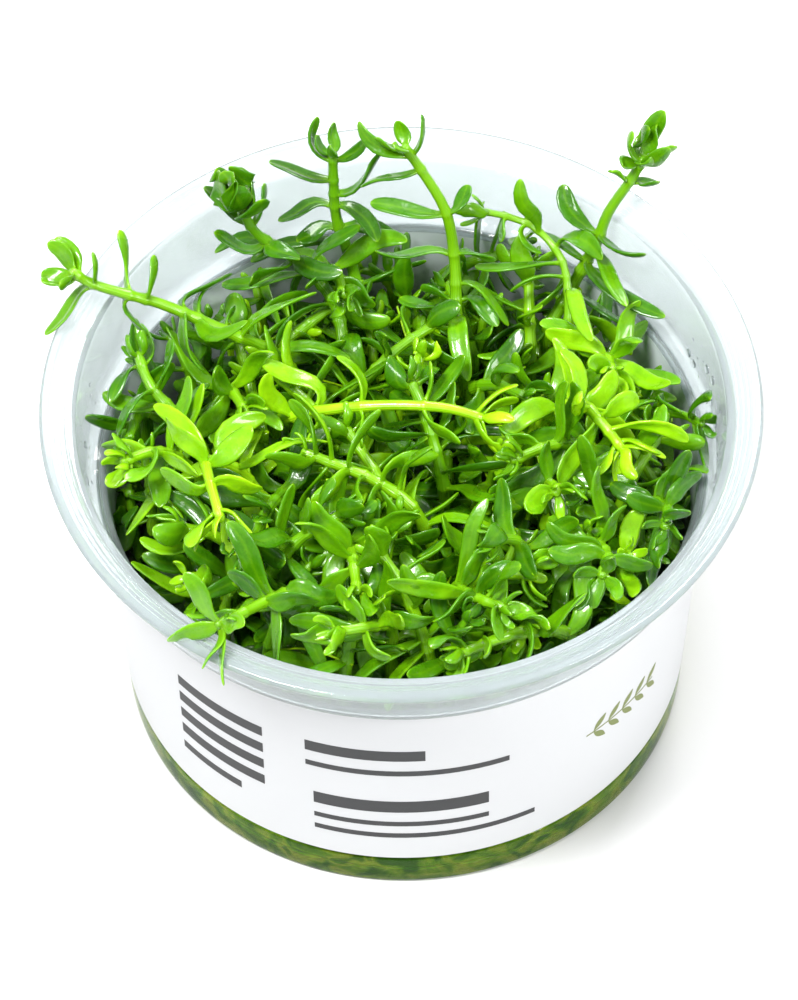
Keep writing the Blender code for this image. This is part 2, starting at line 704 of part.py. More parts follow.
def fill_route(rng, index, floor):
    """A stem that stands up from the tangle, then leans over."""
    reach = FILL_REACH * math.sqrt((index + 0.5) / FILL_STEMS)
    angle = index * GOLDEN_ANGLE
    x = reach * math.cos(angle) + rng.uniform(-4.0, 4.0)
    y = reach * math.sin(angle) + rng.uniform(-4.0, 4.0)
    lean = rng.uniform(0.0, 2 * math.pi)
    drift = rng.uniform(7.0, 20.0)
    dx, dy = drift * math.cos(lean), drift * math.sin(lean)
    foot = floor(x, y)
    top = canopy(x + dx, y + dy) + rng.uniform(-5.0, 1.5)
    rise = top - foot
    return standing(x, y, foot) + [(x + 0.2 * dx, y + 0.2 * dy, foot + 0.55 * rise),
                                   (x + 0.55 * dx, y + 0.55 * dy, foot + 0.88 * rise),
                                   (x + dx, y + dy, top)]


def grow():
    """The tangle and every stem: first the stems set by hand, then the ones between them."""
    rng = random.Random(SEED)
    tangle = tangle_mesh(rng)
    mound = (tangle[0], split(tangle[1]))
    ground = surface_tree(*mound)

    def floor(x, y):
        hits = [ground.ray_cast(Vector((x + dx, y + dy, 90.0)), Vector((0, 0, -1)))[0]
                for dx in (-1, 0, 1) for dy in (-1, 0, 1)]
        return max([hit.z for hit in hits if hit] + [tangle_height(x, y)]) + 2 * GAP

    by_hand = Space()
    space = Space()
    space.add(mound)
    grown = {}
    for name, design in STEMS_BY_HAND.items():
        x, y = design["foot"]
        route = standing(x, y, floor(x, y)) + design["route"]
        wanted = leaves_by_hand(design["leaves"], rng)
        grown[name] = plant_stem(space, route, wanted, CUTS_BY_HAND, len(design["leaves"]) - 2,
                                 girth=design.get("girth", 1.0))
        if grown[name] is None:
            raise RuntimeError(f"{name} has no room")
        space.add(grown[name])
        by_hand.add(grown[name])
    raised = tangle_leaves(rng, tangle, by_hand)
    for number, leaf in raised.items():
        space.add(leaf.probe(FILL_CUTS, 0.0))
        space.add(raised_patch(tangle[0], tangle[1][number], leaf))
    waiting = list(range(FILL_STEMS))
    for index in waiting * FILL_TRIES:
        if index not in waiting:
            continue
        route = fill_route(rng, index, floor)
        wanted = leaves_by_rule(rng, FILL_LEAVES)
        shell = plant_stem(space, route, wanted, FILL_CUTS, FILL_LEAST, rng.uniform(0.0, math.pi))
        if shell:
            grown[f"stem_{len(grown) + 1:02d}"] = shell
            space.add(shell)
            waiting.remove(index)
    return leafy_tangle(tangle, raised), grown


def material(name, color, roughness, alpha=1.0, transmission=0.0, ior=1.45):
    """A Principled material."""
    made = bpy.data.materials.new(name)
    made.use_nodes = True
    shader = made.node_tree.nodes["Principled BSDF"]
    shader.inputs["Base Color"].default_value = (*color, 1.0)
    shader.inputs["Roughness"].default_value = roughness
    shader.inputs["Alpha"].default_value = alpha
    shader.inputs["Transmission Weight"].default_value = transmission
    shader.inputs["IOR"].default_value = ior
    made.diffuse_color = (*color, alpha)
    return made


def add_object(name, shell, surface, sharp=None):
    """An object from a shell in millimetres; round ones are shaded smooth."""
    points, faces = shell
    mesh = bpy.data.meshes.new(name)
    mesh.from_pydata([tuple(float(c) * MM for c in point) for point in points], [], faces)
    mesh.materials.append(surface)
    if sharp is not None:
        mesh.shade_smooth()
        mesh.set_sharp_from_angle(angle=math.radians(sharp))
    made = bpy.data.objects.new(name, mesh)
    bpy.context.scene.collection.objects.link(made)
    return made


def stem_colors(count):
    """Greens from yellow-green to dark, one for each stem in turn."""
    rng = random.Random(SEED)
    return [tuple(c + rng.uniform(-0.02, 0.02) for c in GREENS[i % len(GREENS)]) for i in range(count)]


def main():
    for old in list(bpy.data.objects):
        bpy.data.objects.remove(old)
    clear = material("clear_plastic", (0.93, 0.96, 0.97), 0.12, 0.35, 0.9, 1.49)
    add_object("tub", tub_mesh(), clear, sharp=40)
    add_object("label", label_mesh(), material("label_paper", (0.9, 0.91, 0.92), 0.45), sharp=40)
    jelly = material("jelly", (0.75, 0.82, 0.6), 0.05, 0.5, 0.9, 1.34)
    add_object("jelly", jelly_mesh(), jelly, sharp=40)
    tangle, grown = grow()
    add_object("tangle", tangle, material("old_growth", (0.05, 0.16, 0.02), 0.5))
    for color, (name, shell) in zip(stem_colors(len(grown)), grown.items()):
        add_object(name, shell, material(name, color, 0.3))


main()
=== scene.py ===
"""Rotala in its clear tub: fine leaves and stems, tub, label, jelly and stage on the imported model.

The plant grows by the same values and the same rule as the model's source, in millimetres, so
each fine stem stands where its solid does. Pieces are made in metres, with +Z up and the front
towards -Y.
"""

import json
import math
import random

import bpy
import numpy as np
from bpy.props import FloatProperty, FloatVectorProperty, IntProperty, PointerProperty
from mathutils import Color, Matrix, Vector
from mathutils.bvhtree import BVHTree


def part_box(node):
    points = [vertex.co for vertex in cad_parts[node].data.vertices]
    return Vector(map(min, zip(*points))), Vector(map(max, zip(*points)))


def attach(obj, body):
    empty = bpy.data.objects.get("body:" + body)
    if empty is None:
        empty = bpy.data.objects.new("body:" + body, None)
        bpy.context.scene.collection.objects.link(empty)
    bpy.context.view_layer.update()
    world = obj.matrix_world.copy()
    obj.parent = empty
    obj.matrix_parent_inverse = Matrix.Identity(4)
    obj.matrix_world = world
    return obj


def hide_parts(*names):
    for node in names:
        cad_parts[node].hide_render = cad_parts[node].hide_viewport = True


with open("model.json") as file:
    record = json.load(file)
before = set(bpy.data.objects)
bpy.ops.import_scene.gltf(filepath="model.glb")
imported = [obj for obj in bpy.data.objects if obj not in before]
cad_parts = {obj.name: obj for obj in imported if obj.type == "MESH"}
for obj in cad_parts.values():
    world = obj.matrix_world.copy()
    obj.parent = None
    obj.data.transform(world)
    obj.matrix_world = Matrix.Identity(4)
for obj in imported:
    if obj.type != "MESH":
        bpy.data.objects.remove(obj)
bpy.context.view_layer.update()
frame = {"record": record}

bl_info = {
    "name": "Rotala in a Clear Tub",
    "version": (1, 0, 0),
    "blender": (4, 5, 0),
    "location": "View3D > Sidebar > Rotala",
    "description": "Grows the leaves and stems of a potted rotala and moulds its tub",
    "category": "Object",
}

# Millimetres in metres, how near in metres a fine stem's form has to be to its solid, and the seed
MM = 0.001
SAME_PLACE = 0.00002
SEED = 20

# Tub
TUB_HEIGHT = 60.0
RIM_RADIUS = 50.5
LIP_THICKNESS = 1.1
MOUTH_RADIUS = 45.4
MOUTH_HEIGHT = 58.1
COLLAR_FOOT_RADIUS = 44.1
COLLAR_FOOT_HEIGHT = 47.7
WALL = 0.9
BASE_RADIUS = 39.9
BASE_CORNER = 1.8
BAND_RADIUS = 40.5
BAND_TOP = 6.3
DRAFT = 0.0614
BODY_TOP = 46.5
FACETS = 40

# Label
LABEL_BOTTOM = 6.9
LABEL_TOP = 46.1
LABEL_THICKNESS = 0.25
LABEL_SEAM = math.radians(63)

# Contents
GAP = 0.3
JELLY_TOP = 7.6
TANGLE_MIDDLE = 41.0
TANGLE_SLOPE = 0.07
TANGLE_LUMP = 3.2
TANGLE_SECTORS = 22
TANGLE_RINGS = (7.0, 15.0, 23.0, 31.0, 38.0)
TANGLE_LEAF = 10.0
TANGLE_TRIES = 16

# Stems and leaves
STEM_FOOT_RADIUS = 1.0
STEM_TIP_RADIUS = 0.72
STEM_FACE = 0.85
STEM_STEP = 5.5
NODE_HALF_HEIGHT = 0.6
LEAF_THICKNESS = 0.75
LEAF_WIDTH = 3.1
LEAF_WIDEST = 0.65
LEAF_LEAD = 0.42
LEAF_LIFT = 0.16
LEAF_CLEAR = 1.8
CUTS_BY_HAND = (0.42, 0.8)

# Stems between the listed ones
FILL_STEMS = 33
FILL_LEAVES = 8
FILL_LEAST = 4
FILL_TRIES = 120
FILL_REACH = 38.0
CANOPY_MIDDLE = 56.5
BACK_FALL = 0.18
FRONT_RISE = 0.05
FILL_CUTS = (0.62,)
GOLDEN_ANGLE = math.radians(137.5)

# Fine leaves and stems: places along a leaf, with its width and thickness there as shares
LEAF_STATIONS = (0.0, 0.06, 0.15, 0.28, 0.43, 0.58, 0.72, 0.84, 0.92, 0.97, 1.0)
LEAF_OUTLINE = (0.4, 0.48, 0.66, 0.87, 0.98, 1.0, 0.95, 0.84, 0.66, 0.46, 0.14)
LEAF_BODY = (1.1, 0.95, 0.85, 0.88, 0.92, 0.94, 0.92, 0.86, 0.75, 0.6, 0.28)
TALLEST = 78.9
TIP_CUT = 0.3
STEM_SPACING = 1.6
NODE_SWELL = 1.22
ROOT_DEPTH = 9.0

# Old growth under the young stems
OLD_STEMS = 96
OLD_REACH = 37.0
OLD_LEAFY = 17.0
OLD_MARGIN = 2.0
OLD_EDGE = TANGLE_MIDDLE - 3.0
# The core of painted shade in the old growth: how far it drops, how far in it shrinks, and its bottom
CORE_DROP = 9.0
CORE_SHARE = 0.94
CORE_BOTTOM = 1.8
ROOTLETS = 14
ROOTLET_RADIUS = 0.16
ROOTLET_STEP = 4.5

# Small shoots between the young stems
SHOOTS = 130
SHOOT_TRIES = 8
SHOOT_GIRTH = 0.78
LEAF_TRIES = 7

# Leaves in the jelly, at the clear foot's wall and on the tub's floor
WALL_LEAVES = 200
WALL_LAYERS = ((1.9, 3.6), (3.0, 5.2), (4.5, 7.5))
WALL_LEAF_TOP = 11.0
WALL_TURN_RADIUS = 38.0
FLOOR_LEAVES = 150
FLOOR_LEAF_REACH = 37.6

# How the tub shows: the shaded leaves behind its foot, painted on the foot, the height where that ends and
# the sides with drops, in degrees
PAINTED_FOOT_VIEW = ((0.36, (0.05, 0.17, 0.005)), (0.47, (0.18, 0.38, 0.012)), (0.6, (0.44, 0.55, 0.05)),
              (0.7, (0.1, 0.24, 0.008)))
FOOT_TOP = LABEL_BOTTOM - 0.3
DROPS_FROM = 47.6
DROPS_TO = 54.0
WET_SIDES = ((0, 22), (335, 360), (165, 190))

# Young leaves at a stem's tip (how many, how long, how wide, how far they lean out), how much
# wider its leaves are than the solid's, and the height above which it has no more than its own
TIPS = {
    "stem_bud": (9, 8.0, 4.2, 0.12), "stem_right": (6, 7.5, 3.2, 0.45),
    "stem_far_left": (3, 6.5, 2.8, 0.7), "stem_tall": (3, 5.0, 2.2, 0.6),
    "stem_twin": (3, 5.0, 2.0, 0.5), "stem_bright": (3, 6.5, 2.2, 0.6),
    "stem_left_bright": (3, 6.5, 2.3, 0.6), "stem_right_bright": (3, 6.5, 2.3, 0.6),
    "stem_over_rim": (5, 8.5, 2.9, 1.1), "stem_front_right": (4, 6.0, 2.4, 0.7),
}
WIDER = {
    "stem_far_left": 1.2, "stem_bud": 1.15, "stem_twin": 1.1, "stem_tall": 1.12, "stem_right": 1.1,
    "stem_thin": 1.15, "stem_over_rim": 1.15, "stem_left_bright": 1.2, "stem_right_bright": 1.2,
}
LEAFY_BELOW = {
    "stem_far_left": 60.0, "stem_bud": 58.0, "stem_twin": 56.0, "stem_tall": 54.0, "stem_right": 58.0,
    "stem_thin": 62.0, "stem_bright": 50.0,
}

UNITS = {"subtype": "DISTANCE", "unit": "LENGTH"}

# How old a stem's leaves look and how much painted shade they get for their depth, 0 dark to 1 yellow-green;
# the stems between get a drawn shade
SHADES = {
    "stem_far_left": 0.5, "stem_bud": 0.22, "stem_twin": 0.25, "stem_tall": 0.42, "stem_right": 0.4,
    "stem_thin": 0.55, "stem_over_rim": 0.5, "stem_bright": 0.84, "stem_right_bright": 0.84,
    "stem_centre": 0.6, "stem_left_bright": 0.84, "stem_left_droop": 0.4, "stem_front": 0.45,
    "stem_front_left": 0.6, "stem_front_right": 0.4, "stem_right_edge": 0.3,
}

# Print on the label: each bar's left edge, bottom, width and height, and the plain sprig
BARS = [
    (-36.0, 33.0, 15.0, 2.4), (-36.0, 28.6, 15.0, 2.4), (-36.0, 24.2, 15.0, 2.4),
    (-36.0, 19.8, 15.0, 2.4), (-36.0, 15.4, 11.0, 1.8),
    (-14.5, 33.6, 17.0, 2.6), (-14.5, 29.6, 29.0, 1.3),
    (-13.5, 19.6, 25.0, 3.0), (-13.5, 15.8, 25.0, 1.2), (-13.5, 12.6, 32.0, 1.2),
]
SPRIG_LEFT = 27.0
SPRIG_HEIGHT = 26.0
SPRIG_LENGTH = 14.0
SPRIG_PAIRS = 5

# Stage: the floor's half width, where the lamps point, and each lamp's place, size and share of power
FLOOR_HALF = 3000.0
LAMP_AIM = (0.0, 0.0, 0.05)
LAMPS = (("key", (-0.25, -0.2, 0.8), 0.22, 1.0), ("fill", (0.45, -0.35, 0.6), 0.2, 0.35),
         ("back", (0.2, 0.5, 0.65), 0.25, 0.45))
CAMERA_LENS = 228.03
CAMERA_AIM = (-0.52, 0.0, 37.3)
CAMERA_ROLL = math.radians(-1.04)


# Each stem that the photograph shows on its own: where it leaves the tangle, its middle line up
# to its tip, and its leaves as the distance back from the tip, the leaf's own tip and its width.
STEMS_BY_HAND = {
    "stem_far_left": {
        "foot": (-15, 17),
        "route": [(-18, 17.7, 49), (-24, 17.2, 54.5), (-33, 17.7, 60.5), (-38, 17.7, 63),
                  (-43, 18.2, 65), (-46, 18.7, 67.5)],
        "leaves": [(9.5, (-40, 24.2, 69), 2.5), (9.5, (-35.5, 14.7, 57), 2.2),
                   (12, (-35, 21.2, 67.5), 2.3), (4, (-50.2, 13.1, 60.8), 2.5),
                   (4, (-43, 20.2, 69.5), 2.4), (1.5, (-48.2, 22.2, 69.5), 2.2),
                   (1.5, (-50, 17.7, 66.5), 2.0), (18, (-25, 24.7, 59), 2.8),
                   (18, (-27, 9.7, 55), 2.8), (25, (-24, 22.7, 53), 2.8)],
    },
    "stem_bud": {
        "foot": (-8, 22),
        "route": [(-9.5, 27.7, 48.5), (-15, 31.2, 54), (-20, 30.7, 60), (-22.5, 32.2, 65)],
        "leaves": [(1.5, (-23.5, 34.2, 71), 3.2), (1.5, (-20.5, 30.2, 70), 3.0),
                   (4, (-27, 35.2, 65.5), 2.4), (4, (-18.8, 34.2, 67), 3.0),
                   (8, (-26, 30.2, 61), 2.6), (8, (-14, 26.7, 59), 2.8),
                   (14, (-21, 25.7, 56), 2.8), (14, (-8, 26.2, 57.5), 2.6)],
    },
    "stem_twin": {
        "foot": (-5, 30),
        "route": [(-7, 34.2, 50), (-8.7, 35.7, 57), (-9, 36.7, 63), (-9, 38.2, 69)],
        "leaves": [(1.5, (-11.3, 41, 73), 2.0), (1.5, (-4.5, 38, 71.5), 2.2),
                   (5, (-17.8, 38.7, 67), 3.0), (7.5, (-1.8, 39, 68.5), 3.0),
                   (9.8, (-17, 33.2, 60), 2.6), (9.8, (-3, 30.7, 58), 2.8),
                   (14, (-14.5, 32.7, 56), 2.6), (14, (0.5, 36.7, 52), 2.6)],
    },
    "stem_tall": {
        "foot": (9, 17),
        "route": [(8.2, 22.2, 49), (8, 27.7, 57), (6.8, 30.2, 65), (3.5, 32.7, 71), (1, 33.7, 75.5)],
        "leaves": [(2, (3.8, 36.2, 80), 2.2), (2, (-5.2, 37.7, 76), 2.0),
                   (5, (-5.2, 32.2, 68.5), 2.4), (13, (10, 33.7, 66.5), 2.4),
                   (13, (-3.8, 32.2, 64.5), 3.0), (20, (-3, 27.7, 61), 2.8),
                   (20, (14, 28.7, 56), 2.8), (27, (3, 25.7, 53), 2.6),
                   (27, (14, 19.7, 52), 2.6)],
    },
    "stem_right": {
        "foot": (21, 25),
        "route": [(25, 29.2, 49), (28.3, 31.2, 56), (30, 32.7, 61), (33, 34.2, 66), (35, 35.2, 70)],
        "leaves": [(1.5, (35.8, 37.2, 74), 2.4), (1.5, (32, 32.7, 71.5), 2.2),
                   (4.5, (30.5, 33.7, 69), 2.2), (4.5, (37, 33.2, 67.5), 2.6),
                   (14.5, (24.3, 36.5, 63), 2.8), (14.5, (35, 25.9, 61.2), 2.6),
                   (19.5, (38, 19.2, 55.5), 2.6), (19.5, (19.5, 34.2, 55), 2.6),
                   (25, (33, 20.7, 50), 2.6)],
    },
    "stem_thin": {
        "foot": (23, 16), "girth": 0.68,
        "route": [(24, 21.7, 50), (23.5, 27.7, 55.5), (20, 32, 58), (16, 33.7, 59), (11.5, 34.2, 60)],
        "leaves": [(7, (18, 37.2, 61.5), 2.2), (7, (20.5, 29.2, 56.5), 2.4),
                   (4, (14.5, 30.2, 58), 2.2), (1.2, (7.6, 33, 62), 1.8),
                   (12.5, (29, 25.7, 59), 2.6), (17, (30, 19.7, 54), 2.6), (17, (16, 24.7, 53), 2.6)],
    },
    "stem_over_rim": {
        "foot": (-12, -23),
        "route": [(-15, -27.3, 53.5), (-18, -31.3, 57.5), (-22, -35.8, 60.5), (-25.5, -39.3, 62.5)],
        "leaves": [(2, (-29.2, -45.8, 61), 2.4), (2, (-24, -40.8, 66), 2.4),
                   (5.5, (-19.5, -45.3, 60.6), 2.8), (5.5, (-29.5, -37.8, 63), 2.4),
                   (10, (-24, -29.8, 61.5), 2.8), (10, (-11.5, -32.8, 58), 2.8),
                   (15, (-9, -29.3, 55), 2.8), (15, (-22, -23.3, 55), 2.8)],
    },
    "stem_bright": {
        "foot": (-18, 9),
        "route": [(-15, 5.7, 50), (-9.5, 3.7, 54), (-2, 2.7, 56), (6, 1.7, 56.5), (12, 0.7, 55)],
        "leaves": [(1.5, (17, -2.8, 53), 2.6), (1.5, (16.5, 4.7, 57), 2.6),
                   (9, (4, 7.2, 60), 2.8), (9, (8, -5.3, 57.5), 2.6),
                   (18, (-9, 9.7, 58), 2.8), (18, (-5, -4.3, 56), 2.8),
                   (25, (-14, -2.3, 53), 2.8), (25, (-20, 12.7, 55), 2.8)],
    },
    "stem_right_bright": {
        "foot": (18, 5),
        "route": [(21, 4.2, 51), (25, 1.7, 57), (28, -2.8, 58), (31, -6.3, 56)],
        "leaves": [(1.5, (26.5, -9.3, 55), 2.6), (1.5, (36, -7.3, 57), 2.6),
                   (6, (22.6, -10.3, 54), 3.0), (6, (33.5, 0.2, 58), 2.8),
                   (11, (22.5, 7.2, 62), 2.8), (11, (30, 5.7, 59), 2.8),
                   (16, (15, -1.3, 54), 2.8), (16, (28, 9.7, 53), 2.6)],
    },
    "stem_centre": {
        "foot": (4, -13),
        "route": [(1, -11.3, 51.5), (-4, -8.8, 54), (-9, -7.3, 55.5), (-14, -5.8, 57)],
        "leaves": [(2, (-19, -8.8, 59.5), 2.6), (2, (-16, -0.3, 61), 2.6),
                   (7, (-13, -13.3, 56), 2.8), (7, (-3, -1.8, 61), 2.6),
                   (12, (-6, -16.3, 54), 2.8), (12, (5, -5.3, 55), 2.6)],
    },
    "stem_left_bright": {
        "foot": (-19, -6),
        "route": [(-23, -5.3, 52), (-27, -7.3, 57), (-26.5, -13.3, 60), (-25, -19.3, 59)],
        "leaves": [(1.5, (-29, -24.3, 59.5), 2.6), (1.5, (-21, -24.3, 57), 2.6),
                   (6, (-33.5, -11.3, 60.8), 2.8), (6, (-19.5, -12.8, 58), 2.8),
                   (11, (-32.5, -2.3, 60.5), 2.6), (11, (-20.5, -4.3, 61), 2.8),
                   (17, (-33, -8.3, 54), 2.8), (17, (-19, 1.7, 55), 2.8)],
    },
    "stem_left_droop": {
        "foot": (-27, 2),
        "route": [(-30, 3.7, 50.5), (-35, 7.7, 54.5), (-37, 12.2, 57)],
        "leaves": [(2, (-41, 6.2, 53.5), 2.4), (2, (-37, 18.2, 56), 2.4),
                   (6, (-39.5, 0.7, 52.5), 2.6), (6, (-32.5, 12.7, 59), 2.6),
                   (11, (-37, -0.3, 50), 2.6), (11, (-27, 8.7, 54), 2.6)],
    },
    "stem_front": {
        "foot": (6, -26),
        "route": [(7, -26.3, 52), (9, -30.3, 56), (14, -34.3, 58)],
        "leaves": [(1.5, (19.5, -37.3, 57.5), 2.6), (1.5, (13, -39.8, 58.5), 2.6),
                   (5.5, (4, -36.3, 58), 2.8), (5.5, (15, -27.3, 59), 2.8),
                   (9.5, (1, -28.3, 56), 2.6), (9.5, (12, -22.3, 56), 2.6)],
    },
    "stem_front_left": {
        "foot": (-2, -32),
        "route": [(-2, -32.3, 52), (-5, -35.3, 56), (-10, -37.3, 57.5)],
        "leaves": [(1.5, (-15.5, -37.3, 57.5), 2.6), (1.5, (-10, -41.3, 59), 2.6),
                   (5, (-9, -30.3, 59), 2.8), (5, (-2, -40.3, 56), 2.8),
                   (9, (4, -33.3, 55), 2.6), (9, (-7, -28.3, 55), 2.6)],
    },
    "stem_front_right": {
        "foot": (24, -17),
        "route": [(26, -18.3, 51.5), (28, -23.3, 55), (27, -28.3, 57)],
        "leaves": [(1.5, (32, -32.3, 56), 2.6), (1.5, (23, -33.3, 56.5), 2.6),
                   (5, (20, -23.3, 57), 2.8), (5, (34, -25.3, 55.5), 2.8),
                   (9, (31, -16.3, 57), 2.6), (9, (20, -16.3, 55), 2.6)],
    },
    "stem_right_edge": {
        "foot": (33, -10),
        "route": [(34, -11.3, 51), (36.5, -15.3, 55), (36, -20.3, 57)],
        "leaves": [(1.5, (34, -25.8, 56.5), 2.4), (1.5, (39.5, -19.3, 59), 2.4),
                   (5, (31, -15.3, 58), 2.6), (5, (42, -10.8, 56), 2.6),
                   (9, (29, -10.3, 54), 2.6), (9, (40, -7.3, 53), 2.6)],
    },
}


def body_radius(z):
    """Outer radius of the tub's tapered body at height z."""
    return BASE_RADIUS + DRAFT * (z - BASE_CORNER)


def inner_wall():
    """The tub's inner side from the floor up to the mouth, as (radius, height)."""
    return [
        (body_radius(BASE_CORNER) - 2.1, WALL + 0.1),
        (body_radius(2.4) - WALL - 0.1, 2.6),
        (body_radius(BODY_TOP) - WALL, BODY_TOP + 0.6),
        (COLLAR_FOOT_RADIUS, COLLAR_FOOT_HEIGHT),
        (MOUTH_RADIUS, MOUTH_HEIGHT),
    ]


def inner_radius(z):
    """Inner radius of the tub at height z, at the middle of a facet."""
    wall = inner_wall()
    radii = [point[0] for point in wall]
    heights = [point[1] for point in wall]
    return float(np.interp(z, heights, radii)) * math.cos(math.pi / FACETS)


def flange_top(radius):
    """Height of the rim's upper face at a radius."""
    slope = (TUB_HEIGHT - MOUTH_HEIGHT) / (RIM_RADIUS - MOUTH_RADIUS)
    return MOUTH_HEIGHT + slope * (radius - MOUTH_RADIUS)


def clears_tub(point):
    """True where a point is inside the tub's mouth, over its rim or past its rim."""
    radius = math.hypot(point[0], point[1])
    inside = radius < inner_radius(point[2]) - GAP
    over = point[2] > flange_top(min(radius, RIM_RADIUS)) + GAP
    return inside or over or radius > RIM_RADIUS + GAP


def ring(radius, z, count, turn=0.0):
    """One ring of points round the Z axis."""
    angles = [turn + 2 * math.pi * i / count for i in range(count)]
    return [(radius * math.cos(a), radius * math.sin(a), z) for a in angles]


def bands(rings, count):
    """Quads between successive rings, facing out when the rings run up the outer side."""
    faces = []
    for row in range(rings - 1):
        for i in range(count):
            j = (i + 1) % count
            low = row * count
            high = low + count
            faces.append((low + i, low + j, high + j, high + i))
    return faces


def lathe(profile, count):
    """Closed body turned from a profile that runs up the outside and down the inside."""
    points = [point for radius, z in profile for point in ring(radius, z, count)]
    faces = bands(len(profile), count)
    last = (len(profile) - 1) * count
    points += [(0.0, 0.0, profile[0][1]), (0.0, 0.0, profile[-1][1])]
    under, over = len(points) - 2, len(points) - 1
    for i in range(count):
        j = (i + 1) % count
        faces.append((j, i, under))
        faces.append((last + i, last + j, over))
    return points, faces


def tangle_height(x, y):
    """Mean height of the tangle's top: higher towards the front."""
    return TANGLE_MIDDLE - TANGLE_SLOPE * y


def tangle_mesh(rng):
    """Older stems and leaves that fill the tub up to the younger stems, as one lumpy mound."""
    bottom = JELLY_TOP + GAP
    shoulder = inner_radius(TANGLE_MIDDLE) - GAP - 0.6
    points = [(0.0, 0.0, bottom)]
    points += ring(inner_radius(bottom) - GAP - 0.3, bottom, TANGLE_SECTORS)
    for x, y, _ in ring(shoulder, 0.0, TANGLE_SECTORS):
        points.append((x, y, tangle_height(x, y) - 4.0))
    for row, radius in enumerate(reversed(TANGLE_RINGS)):
        for x, y, _ in ring(radius, 0.0, TANGLE_SECTORS, 0.14 * (row % 2)):
            rise = rng.uniform(-TANGLE_LUMP, TANGLE_LUMP)
            points.append((x, y, tangle_height(x, y) + rise))
    points.append((0.0, 0.0, TANGLE_MIDDLE + TANGLE_LUMP))
    rows = len(TANGLE_RINGS) + 2
    faces = [tuple(1 + i for i in face) for face in bands(rows, TANGLE_SECTORS)]
    last = 1 + (rows - 1) * TANGLE_SECTORS
    for i in range(TANGLE_SECTORS):
        j = (i + 1) % TANGLE_SECTORS
        faces.append((1 + j, 1 + i, 0))
        faces.append((last + i, last + j, len(points) - 1))
    return points, faces


def split(faces):
    """Four-sided faces as two triangles each, so that uneven ones bend along a known line."""
    halves = []
    for face in faces:
        halves += [face] if len(face) == 3 else [face[:3], (face[0], face[2], face[3])]
    return halves


def nearest_turn(points, face, foot):
    """A patch's corners, listed from the one that lies nearest to the leaf foot's first."""
    turned = [[face[(i + k) % 4] for i in range(4)] for k in range(4)]
    return min(turned, key=lambda corners: sum(
        np.linalg.norm(np.array(points[corner]) - foot[i]) for i, corner in enumerate(corners)))


def raised_patch(points, face, leaf):
    """The faces that rise from a patch's edge to the foot of its leaf."""
    foot = leaf.section(0.0)
    corners = [points[corner] for corner in nearest_turn(points, face, foot)]
    return corners + list(foot), split(side_faces(range(4), range(4, 8)))


def tangle_leaves(rng, tangle, space):
    """Leaves that stand up from every other patch of the tangle's top, where there is room."""
    points, faces = tangle
    ground = Space()
    ground.add((points, split(faces)))
    leaves = {}
    own = Space()
    for number in range(TANGLE_SECTORS, TANGLE_SECTORS * (len(TANGLE_RINGS) + 1)):
        if (number + number // TANGLE_SECTORS) % 2:
            continue
        corners = np.array([points[i] for i in faces[number]])
        normal = np.cross(corners[2] - corners[0], corners[3] - corners[1])
        normal = normal / np.linalg.norm(normal)
        base = corners.mean(axis=0) + 0.3 * normal
        for _ in range(TANGLE_TRIES):
            turn = rng.uniform(0.0, 2 * math.pi)
            lean = np.array([math.cos(turn), math.sin(turn), 0.0])
            tip = base + TANGLE_LEAF * rng.uniform(0.7, 1.1) * (0.75 * lean + 0.65 * normal)
            leaf = Leaf(base, normal, 0.3 * normal - lean, tip, LEAF_WIDTH * rng.uniform(0.8, 1.0))
            bare = leaf.probe(FILL_CUTS, 0.08)
            if own.meets(bare) or ground.meets(bare):
                continue
            if space.meets(raised_patch(points, faces[number], leaf)):
                continue
            if leaf_fits(space, own, leaf, FILL_CUTS):
                leaves[number] = leaf
                own.add(leaf.probe(FILL_CUTS, 0.0))
                break
    return leaves


def smooth_route(points, per_span=6):
    """Points along a Catmull-Rom curve through the given ones."""
    p = np.array(points, float)
    p = np.vstack([2 * p[0] - p[1], p, 2 * p[-1] - p[-2]])
    out = []
    for i in range(1, len(p) - 2):
        for step in range(per_span):
            t = step / per_span
            out.append(0.5 * (2 * p[i] + (p[i + 1] - p[i - 1]) * t
                              + (2 * p[i - 1] - 5 * p[i] + 4 * p[i + 1] - p[i + 2]) * t ** 2
                              + (3 * p[i] - p[i - 1] - 3 * p[i + 1] + p[i + 2]) * t ** 3))
    out.append(p[-2])
    return np.array(out)


